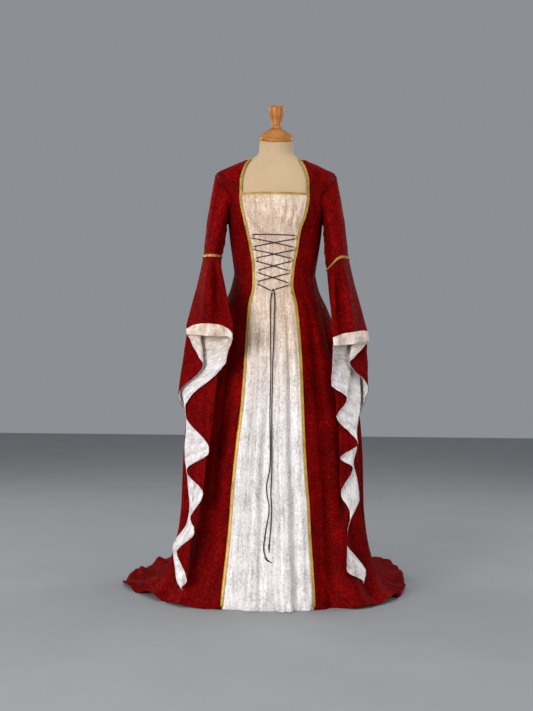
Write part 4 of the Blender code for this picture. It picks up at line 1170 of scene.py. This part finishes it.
class NodeTree(Nodes):
    # a Geometry Nodes tree on one mesh: named inputs, then nodes that feed each other
    def __init__(self, name, numbers):
        self.tree = bpy.data.node_groups.new(name, "GeometryNodeTree")
        for way in ("INPUT", "OUTPUT"):
            self.tree.interface.new_socket("Geometry", in_out=way, socket_type="NodeSocketGeometry")
        for key, value in numbers.items():
            socket = self.tree.interface.new_socket(key, in_out="INPUT", socket_type="NodeSocketFloat")
            socket.default_value = value
        self.given = self.add("NodeGroupInput").outputs

    def vector(self, name):
        return self.node("GeometryNodeInputNamedAttribute", {"data_type": "FLOAT_VECTOR"}, {"Name": name})

    def product(self, first, second):
        return self.node("ShaderNodeMath", {"operation": "MULTIPLY"}, {0: first, 1: second})

    def joined(self, x, y, z):
        return self.node("ShaderNodeCombineXYZ", {}, {0: x, 1: y, 2: z})

    def circle(self, corners, radius):
        return self.node("GeometryNodeCurvePrimitiveCircle", {}, {"Resolution": corners, "Radius": radius})

    def swept(self, line, profile, caps):
        return self.node("GeometryNodeCurveToMesh", {}, {"Curve": line, "Profile Curve": profile,
                                                         "Fill Caps": caps})

    def resized(self, mesh, size):
        return self.node("GeometryNodeTransform", {}, {"Geometry": mesh, "Scale": size})

    def moved(self, line, way, distance):
        shift = self.node("ShaderNodeVectorMath", {"operation": "SCALE"}, {0: way, "Scale": distance})
        return self.node("GeometryNodeSetPosition", {}, {"Geometry": line, "Offset": shift})

    def onPoints(self, points, piece, **more):
        return self.node("GeometryNodeInstanceOnPoints", {}, {"Points": points, "Instance": piece, **more})

    def finish(self, parts, material):
        joined = self.add("GeometryNodeJoinGeometry")
        for part in parts:
            self.feed(joined.inputs[0], part)
        real = self.node("GeometryNodeRealizeInstances", {}, {0: joined.outputs[0]})
        smooth = self.node("GeometryNodeSetShadeSmooth", {}, {0: real})
        painted = self.node("GeometryNodeSetMaterial", {}, {"Geometry": smooth, "Material": material})
        self.add("NodeGroupOutput", {}, {0: painted})
        return self.tree


def braidTree():
    tree = NodeTree("plaitAlongRoute", {
        "Pitch": braid["pitch"], "Slant": braid["slant"], "Grain Length": braid["grainLength"],
        "Grain Width": braid["grainWidth"], "Grain Height": braid["grainHeight"],
        "Half Width": braid["width"] / 2, "Edge Radius": braid["edgeRadius"],
    })
    given, align = tree.given, "FunctionNodeAlignRotationToVector"
    line = tree.node("GeometryNodeMeshToCurve", {}, {0: given["Geometry"]})
    even = tree.node("GeometryNodeResampleCurve", {"mode": "LENGTH"},
                     {"Curve": line, "Length": given["Pitch"]})
    across, out, tangent = tree.vector("across"), tree.vector("out"), tree.node("GeometryNodeInputTangent")
    ball = tree.node("GeometryNodeMeshUVSphere", {}, {"Segments": 6, "Rings": 4, "Radius": 0.5})
    size = tree.joined(*(given["Grain " + side] for side in ("Length", "Width", "Height")))
    grain = tree.resized(ball, size)
    parts = []
    for way in (-1, 1):
        flat = tree.node(align, {"axis": "X"}, {"Vector": tangent})
        flat = tree.node(align, {"axis": "Z", "pivot_axis": "X"}, {"Rotation": flat, "Vector": out})
        slant = tree.joined(0, 0, tree.product(given["Slant"], way))
        lean = tree.node("FunctionNodeEulerToRotation", {}, {0: slant})
        turned = tree.node("FunctionNodeRotateRotation", {"rotation_space": "LOCAL"}, {0: flat, 1: lean})
        row = tree.moved(even, across, tree.product(given["Half Width"], way * braid["grainPlace"]))
        parts.append(tree.onPoints(row, grain, Rotation=turned))
        edge = tree.moved(line, across, tree.product(given["Half Width"], way * braid["edgePlace"]))
        parts.append(tree.swept(edge, tree.circle(6, given["Edge Radius"]), True))
    return tree.finish(parts, gold)


def runTree(name, mesh, tree, values):
    # puts a tree on a mesh, sets its named inputs, and gives the plain mesh that comes out
    holder = addObject(name, mesh)
    nodes = holder.modifiers.new("laid", "NODES")
    nodes.node_group = tree
    for item in tree.interface.items_tree:
        if item.item_type == "SOCKET" and item.in_out == "INPUT" and item.name in values:
            nodes[item.identifier] = values[item.name]
    bpy.context.view_layer.update()
    result = bpy.data.meshes.new_from_object(holder.evaluated_get(bpy.context.evaluated_depsgraph_get()))
    bpy.data.objects.remove(holder)
    return result


def routeMesh(name, route, **vectors):
    mesh = bpy.data.meshes.new(name)
    mesh.from_pydata(route.tolist(), [(i, i + 1) for i in range(len(route) - 1)], [])
    for key, values in vectors.items():
        mesh.attributes.new(key, "FLOAT_VECTOR", "POINT").data.foreach_set("vector", values.reshape(-1))
    return mesh


def joinMeshes(name, meshes, material):
    def gather(shape):
        for mesh in meshes:
            shape.from_mesh(mesh)
    return linkObject(reshape(bpy.data.meshes.new(name), gather, turnOut=False), material)


def braidPiece(name, route, across, out, width, node):
    # route runs along the braid's middle, across it, and out of the cloth
    def thicken(shape):
        bmesh.ops.solidify(shape, geom=shape.faces[:], thickness=-braid["thick"] * 0.5)
    half, share = width / 2, width / braid["width"]
    shares = np.array(braid["bandPlaces"]) * half * braid["bandShare"]
    rows = route[:, None] + across[:, None] * shares[None, :, None]
    band = reshape(gridMesh(name + "Band", rows - out[:, None] * braid["thick"] * 0.25), thicken)
    line = routeMesh(name + "Route", route + out * braid["thick"] * 0.35, across=across, out=out)
    plait = runTree(name + "Plait", line, plaitTree, {
        "Half Width": half, "Grain Length": braid["grainLength"] * share, "Edge Radius": braid["edgeRadius"]})
    piece = settle(joinMeshes(name, [band, plait], gold), node)
    print(name, "laid:", len(piece.data.polygons), "faces")
    return piece


def frontBraid(side, sign):
    upperRows, lowerRows = braid["frontRows"]
    levels = np.concatenate([np.linspace(gown["neckLevel"], gown["kneeLevel"], upperRows, endpoint=False),
                             np.linspace(gown["kneeLevel"], braid["footLevel"], lowerRows)])
    seam, name, share = ("panelRight", "frontRight", 0.0) if sign > 0 else ("panelLeft", "frontLeft", 1.0)
    normal = gownNormal(seams[seam](levels), levels)
    low = ease(0.30, 0.20, levels)
    lift = gown["cloth"] + braid["lift"] * (1 + 2 * low) + braid["thick"] / 2
    route = panelPoint(name, share, levels) + normal * lift[:, None]
    way = unit(np.gradient(route, axis=0))
    across = unit(np.cross(normal, way))
    return braidPiece("braidFront_" + side, route, across, unit(np.cross(way, across)), braid["width"],
                      "braid_front_" + side)


def neckBraid():
    parts = []
    for name in ("frontRight", "backRight", "backLeft", "frontLeft"):
        shares = np.linspace(0, 1, braid["neckSteps"])
        if name == "frontRight":
            shares = shares[shares > braid["neckGap"]]
        if name == "frontLeft":
            shares = shares[shares < 1 - braid["neckGap"]]
        lift = gown["cloth"] + braid["lift"]
        parts.append(np.stack([panelPoint(name, shares, gown["neckLevel"] - down, lift)
                               for down in (0.0, braid["neckDown"])], axis=1))
    edge = np.concatenate([part[:-1] for part in parts[:-1]] + [parts[-1]])
    down = edge[:, 1] - edge[:, 0]
    reach = np.minimum(np.linalg.norm(down, axis=-1, keepdims=True), braid["width"])
    across = unit(down)
    way = unit(np.gradient(edge[:, 0], axis=0))
    out = unit(np.cross(across, way))
    out = np.where(out[:, 2:] < 0, -out, out)
    route = edge[:, 0] + across * reach / 2 + out * braid["thick"] / 2
    return braidPiece("braidNeckBack", route, across, out, braid["width"], "braid_neck_back")


def topBraid():
    level = gown["stomacherLevel"] - braid["topWidth"] / 2
    shares = np.linspace(*braid["topShares"], braid["topSteps"])
    angle = panelAngle("centrePanel", shares, level)
    out = gownNormal(angle, np.full_like(shares, level))
    route = panelPoint("centrePanel", shares, level, gown["cloth"] + braid["lift"] + braid["thick"] / 2)
    across = unit(np.cross(out, np.gradient(route, axis=0)))
    return braidPiece("braidPanelTop", route, across, out, braid["topWidth"], "braid_panel_top")


def elbowBraid(side, look):
    ring = np.linspace(0, 360, braid["elbowSteps"])
    angle = np.radians(ring)
    way = unit(stack(np.sin(angle) / look["halfWidth"], -np.cos(angle) / look["halfDepth"], 0))
    mirror = np.array([look["sign"], 1, 1])
    upper, lower = ((elbowPoint(look, ring, drop) + way * away) * mirror
                    for drop, away in braid["elbowEdges"])
    middle = (upper + lower) / 2
    across = unit(lower - upper)
    out = unit(np.cross(np.gradient(middle, axis=0), across))
    away = middle - middle.mean(axis=0)
    out = np.where(np.sum(out * away, axis=-1, keepdims=True) < 0, -out, out)
    return braidPiece("braidElbow_" + side, middle, across, out, braid["elbowWidth"], "braid_elbow_" + side)


plaitTree = braidTree()
# each braid under the name of the gown's piece that it is sewn on
braidMade = {"frontRight": frontBraid("right", 1), "frontLeft": frontBraid("left", -1),
             "backRight": neckBraid(), "centrePanel": topBraid()}
for side, look in bells.items():
    braidMade["elbow_" + side] = elbowBraid(side, look)


# crossed lacing, its tie and the cloth loops that it runs through
def lacingPlaces():
    # from the tie up one side, over the top and down the other: sideways, height, lift from the cloth
    run, low, high, sides = lacing["loopRun"], lacing["laceLift"], lacing["crossLift"], []
    rows = (lacing["left"], lacing["right"])
    for strand, sign in enumerate((-1, 1)):
        # each strand changes sides from one loop to the next
        stops = [rows[(strand + k) % 2][k] for k in range(len(rows[0]))]
        firstX, firstZ = stops[0]
        places = [(firstX - sign * lacing["turnIn"], firstZ + run + lacing["turnUp"], lacing["loopLift"])]
        for k, (x, z) in enumerate(stops):
            places += [(x, z + step, lacing["loopLift"]) for step in (run, 0.0, -run)]
            if k + 1 < len(stops):
                nextX, nextZ = stops[k + 1]
                middle = high if (k + strand) % 2 == 0 else low
                places += [(mix(x, nextX, t), mix(z - run, nextZ + run, t), lift)
                           for t, lift in ((0.22, low), (0.5, middle), (0.78, low))]
        x, z, _ = places[-1]
        endX, endZ = np.array(lacing["tie"][strand]) + np.array([sign * lacing["tieOut"], lacing["tieUp"]])
        places += [(mix(x, endX, t), mix(z, endZ, t), mix(low, lacing["tieFoot"], t))
                   for t in (0.35, 0.7, 1.0)]
        sides.append(places)
    (leftX, leftZ), (rightX, rightZ) = lacing["left"][0], lacing["right"][0]
    bar = [(mix(leftX, rightX, t), mix(leftZ, rightZ, t) + lacing["barRise"], lacing["laceLift"])
           for t in (0.12, 0.31, 0.5, 0.69, 0.88)]
    return sides[0][::-1] + bar + sides[1]


def loopTree():
    tree = NodeTree("loopsOnPoints", {
        "Loop Radius": lacing["loopRadius"], "Loop Cord Radius": lacing["loopCord"],
        "Loop Height": lacing["loopStretch"]})
    given = tree.given
    loop = tree.swept(tree.circle(28, given["Loop Radius"]), tree.circle(8, given["Loop Cord Radius"]), False)
    loop = tree.resized(loop, tree.joined(1.0, 1.0, given["Loop Height"]))
    return tree.finish([tree.onPoints(given["Geometry"], loop)], ivory)


def buildLacing():
    route = smoothRoute(frontRoute(lacingPlaces()), lacing["crossedSteps"])
    cordPiece("laceCrossed", route, lacing["radius"], "lace_crossed")
    tie = frontRoute([(x, z, lacing["tieLift"]) for x, z in lacing["tie"]])
    t = np.linspace(0, 1, 25)
    radii = lacing["tieRadius"] * (0.62 + 0.46 * np.sin(math.pi * t) ** 0.5 + 0.06 * np.sin(t * 19))
    cordPiece("laceTie", mix(tie[0], tie[1], t[:, None]), radii, "lace_tie", 14)
    centres = frontRoute([(x, z, lacing["loopLift"]) for x, z in lacing["left"] + lacing["right"]])
    points = bpy.data.meshes.new("loopPlaces")
    points.from_pydata(centres.tolist(), [], [])
    loops = joinMeshes("laceLoops", [runTree("laceLoops", points, loopTree(), {})], ivory)
    settle(loops, *[f"lace_loop_{side}_{k}" for side in ("left", "right") for k in range(1, 6)])
    print("lacing laid")


buildLacing()


# the dress form under the gown
form = {
    "around": 96,
    "rows": 150,
    "seamWidth": 0.0011,
    "seamDepth": 0.0007,
    "lipPlace": 0.0022,            # the cloth stands up a little beside its seams
    "lipShare": 0.35,
    "knobRows": 70,
    "knobColumns": 64,
    "neckLean": 17,                # degrees that the neck's top leans to the front
    "neckFoot": 1.395,
    "capTop": 1.500,
}
linenFinish = Finish("linenCover", Sheen_Weight=0.12, Sheen_Roughness=0.5, Specular_IOR_Level=0.25)
linenX, _, linenZ = linenFinish.split(linenFinish.coords("Object"))
warp = (linenX * 3600.0).sine() * (linenZ * 1500.0 + linenX * 40.0).sine()
slub = linenFinish.noise(linenFinish.coords("Object", (30.0, 30.0, 260.0)), 3.0, 3.0)
tint = linenFinish.noise(linenFinish.coords("Object"), 9.0, 2.0)
linenFinish.bump(warp * 0.5 + slub * 0.6, 0.35, 0.0004)
linen = linenFinish.surface(
    Base_Color=linenFinish.ramp(
        slub * 0.45 + tint * 0.55,
        [(0.30, (.52, .36, .215)), (0.55, (.58, .415, .25)), (0.80, (.63, .46, .29))]),
    Roughness=0.86 - slub * 0.12)

woodFinish = Finish("turnedWood", Coat_Weight=0.12, Coat_Roughness=0.25, Specular_IOR_Level=0.30)
grainFrom = woodFinish.coords("Object", (10.0, 10.0, 95.0))
grainNoise = woodFinish.noise(grainFrom, 2.2, 4.0, 1.4)
poreNoise = woodFinish.noise(woodFinish.coords("Object", (240.0, 240.0, 30.0)), 1.0, 2.0)
woodFinish.bump(grainNoise * 0.5 + poreNoise * 0.4, 0.18, 0.0004)
wood = woodFinish.surface(
    Base_Color=woodFinish.ramp(
        grainNoise * 0.8 + poreNoise * 0.2,
        [(0.28, (.22, .066, .008)), (0.50, (.42, .145, .018)), (0.72, (.56, .225, .036))]),
    Roughness=grainNoise * 0.20 + 0.26)

steelFinish = Finish("paintedSteel", Metallic=0.3)
steelWear = steelFinish.noise(steelFinish.coords("Object"), 60.0, 4.0)
steel = steelFinish.surface(
    Base_Color=steelFinish.blendColours(
        steelWear.between(0.60, 0.72), (.022, .022, .024, 1), (.10, .095, .09, 1)),
    Roughness=steelWear * 0.3 + 0.35)


def buildForm():
    level = np.linspace(formRings[0][0], formRings[-1][0], form["rows"])[:, None]
    angle = np.linspace(0, 2 * math.pi, form["around"], endpoint=False)[None]
    points = onRing(formRings, angle, np.broadcast_to(level, (form["rows"], form["around"])))
    normals = gridNormals(points, closed=True)
    for seamAngle in (0.0, math.pi / 2, math.pi, 3 * math.pi / 2):
        turn = np.abs((angle - seamAngle + math.pi) % (2 * math.pi) - math.pi)
        off = turn * np.abs(points[..., 0:1]).max(axis=1)
        lip = np.exp(-((off - form["lipPlace"]) / form["seamWidth"]) ** 2) * form["lipShare"]
        ridge = lip - np.exp(-(off / form["seamWidth"]) ** 2)
        points = points + normals * (ridge * form["seamDepth"])[..., None]
    lean = np.radians(form["neckLean"]) * ease(form["neckFoot"], formRings[0][0], points[..., 2])
    points[..., 2] += points[..., 1] * np.tan(lean)
    cap = [tiltedRing(*ring) for ring in capRings()]
    knobFoot = form["capTop"] + gown["seamGap"]
    knob = turnedMesh("formKnob", [(radius, knobFoot + height) for radius, height in knobProfile])
    settle(linkObject(closedRings("formTorso", points), linen), "form_torso")
    settle(linkObject(closedRings("formNeckCap", cap), wood), "form_neck_cap")
    settle(linkObject(knob, wood), "form_knob")
    for node in ("form_pole", "form_base"):
        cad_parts[node].material_slots[0].material = steel
    print("form built")


# the knob from its top down: radius and height above its foot
knobProfile = [
    (.0000, .0765), (.0120, .0763), (.0190, .0755), (.0238, .0732), (.0258, .0692), (.0260, .0650),
    (.0249, .0565), (.0228, .0480), (.0205, .0395), (.0183, .0308), (.0165, .0232), (.0156, .0165),
    (.0158, .0112), (.0170, .0070), (.0192, .0035), (.0200, .0015), (.0196, .0000), (.0000, .0000),
]


def capRings():
    # the neck cap's rings: radius, level in the middle, and how far the ring leans to the front
    lean, top = form["neckLean"], form["capTop"]
    foot = formRings[0][0] + gown["seamGap"] / math.cos(math.radians(lean))
    return [(0.0005, top, 0), (.0150, top, 0), (.0235, top - .0002, 0), (.0275, top - .0022, 1),
            (.0345, foot + .0265, 3), (.0430, foot + .0215, lean * .35), (.0510, foot + .0160, lean * .65),
            (.0555, foot + .0115, lean * .9), (.0570, foot + .0075, lean), (.0572, foot + .0045, lean),
            (.0562, foot + .0016, lean), (.0542, foot, lean), (.0300, foot, lean), (0.0005, foot, lean)]


def tiltedRing(radius, level, lean):
    # a round ring whose front leans down
    angle = np.linspace(0, 2 * math.pi, form["around"], endpoint=False)
    x, y = radius * np.sin(angle), -radius * np.cos(angle)
    return stack(x, y, level + y * math.tan(math.radians(lean)))


def closedRings(name, rings):
    mesh = closeEnds(gridMesh(name, np.array(rings), closed=True), len(rings[0]))
    mesh.set_sharp_from_angle(angle=math.radians(50))
    return mesh


def turnedMesh(name, profile):
    # a turned piece: its profile of (radius, height) runs down its outer side
    def weld(shape):
        bmesh.ops.remove_doubles(shape, verts=shape.verts[:], dist=0.00001)
        bmesh.ops.dissolve_degenerate(shape, edges=shape.edges[:], dist=0.000001)
    profile = smoothRoute([(radius, 0, height) for radius, height in profile], form["knobRows"])[:, [0, 2]]
    profile[0, 0] = profile[-1, 0] = 0.0
    angles = np.arange(form["knobColumns"]) * 2 * math.pi / form["knobColumns"]
    rings = [stack(radius * np.cos(angles), radius * np.sin(angles), height) for radius, height in profile]
    return reshape(gridMesh(name, np.array(rings)[:, ::-1], closed=True), weld)


buildForm()


# goes through the gown's pieces and each sleeve's pieces, and sets nothing on them
def declareSheets():
    for name, look in gownPieces.items():
        [braidMade[name]] if name in braidMade else []
    for side, look in bells.items():
        bell, lining, cuff, upper = sleeveMade[side]


declareSheets()

# floor and light
studio = {
    "floorSize": 14.0,
    "floorColour": (.30, .31, .32, 1),
    "floorSpeck": (.36, .37, .38, 1),
    "worldColour": (.62, .66, .70, 1),
    "worldStrength": 0.42,
    "lampsAimAt": (0, 0, 0.8),
    "lamps": [                     # name, place, size, power
        ("key", (-2.5, -3.7, 1.5), 1.7, 140),
        ("fill", (2.8, -3.2, 1.2), 2.0, 46),
        ("top", (0.2, -0.4, 4.2), 2.5, 35),
        ("rimLeft", (-2.6, 1.6, 2.2), 1.4, 28),
        ("rimRight", (2.6, 1.6, 2.2), 1.4, 28),
    ],
}


def buildStudio():
    bpy.context.scene.view_settings.view_transform = "Standard"
    floorFinish = Finish("studioFloor")
    speck = floorFinish.noise(floorFinish.coords("Object"), 3.0, 3.0)
    colour = floorFinish.blendColours(speck, studio["floorColour"], studio["floorSpeck"])
    floorFinish.surface(Base_Color=colour, Roughness=0.8)
    half = studio["floorSize"] / 2
    mesh = bpy.data.meshes.new("floor")
    mesh.from_pydata([(-half, -half, 0), (half, -half, 0), (half, half, 0), (-half, half, 0)], [],
                     [(0, 1, 2, 3)])
    linkObject(mesh, floorFinish.material)
    world = bpy.data.worlds.new("studio")
    world.use_nodes = True
    world.node_tree.nodes["Background"].inputs[0].default_value = studio["worldColour"]
    world.node_tree.nodes["Background"].inputs[1].default_value = studio["worldStrength"]
    bpy.context.scene.world = world
    for name, place, size, power in studio["lamps"]:
        lamp = bpy.data.lights.new(name, "AREA")
        lamp.size = size
        lamp.energy = power
        way = Vector(studio["lampsAimAt"]) - Vector(place)
        addObject(name, lamp, place).rotation_euler = way.to_track_quat("-Z", "Y").to_euler()


buildStudio()
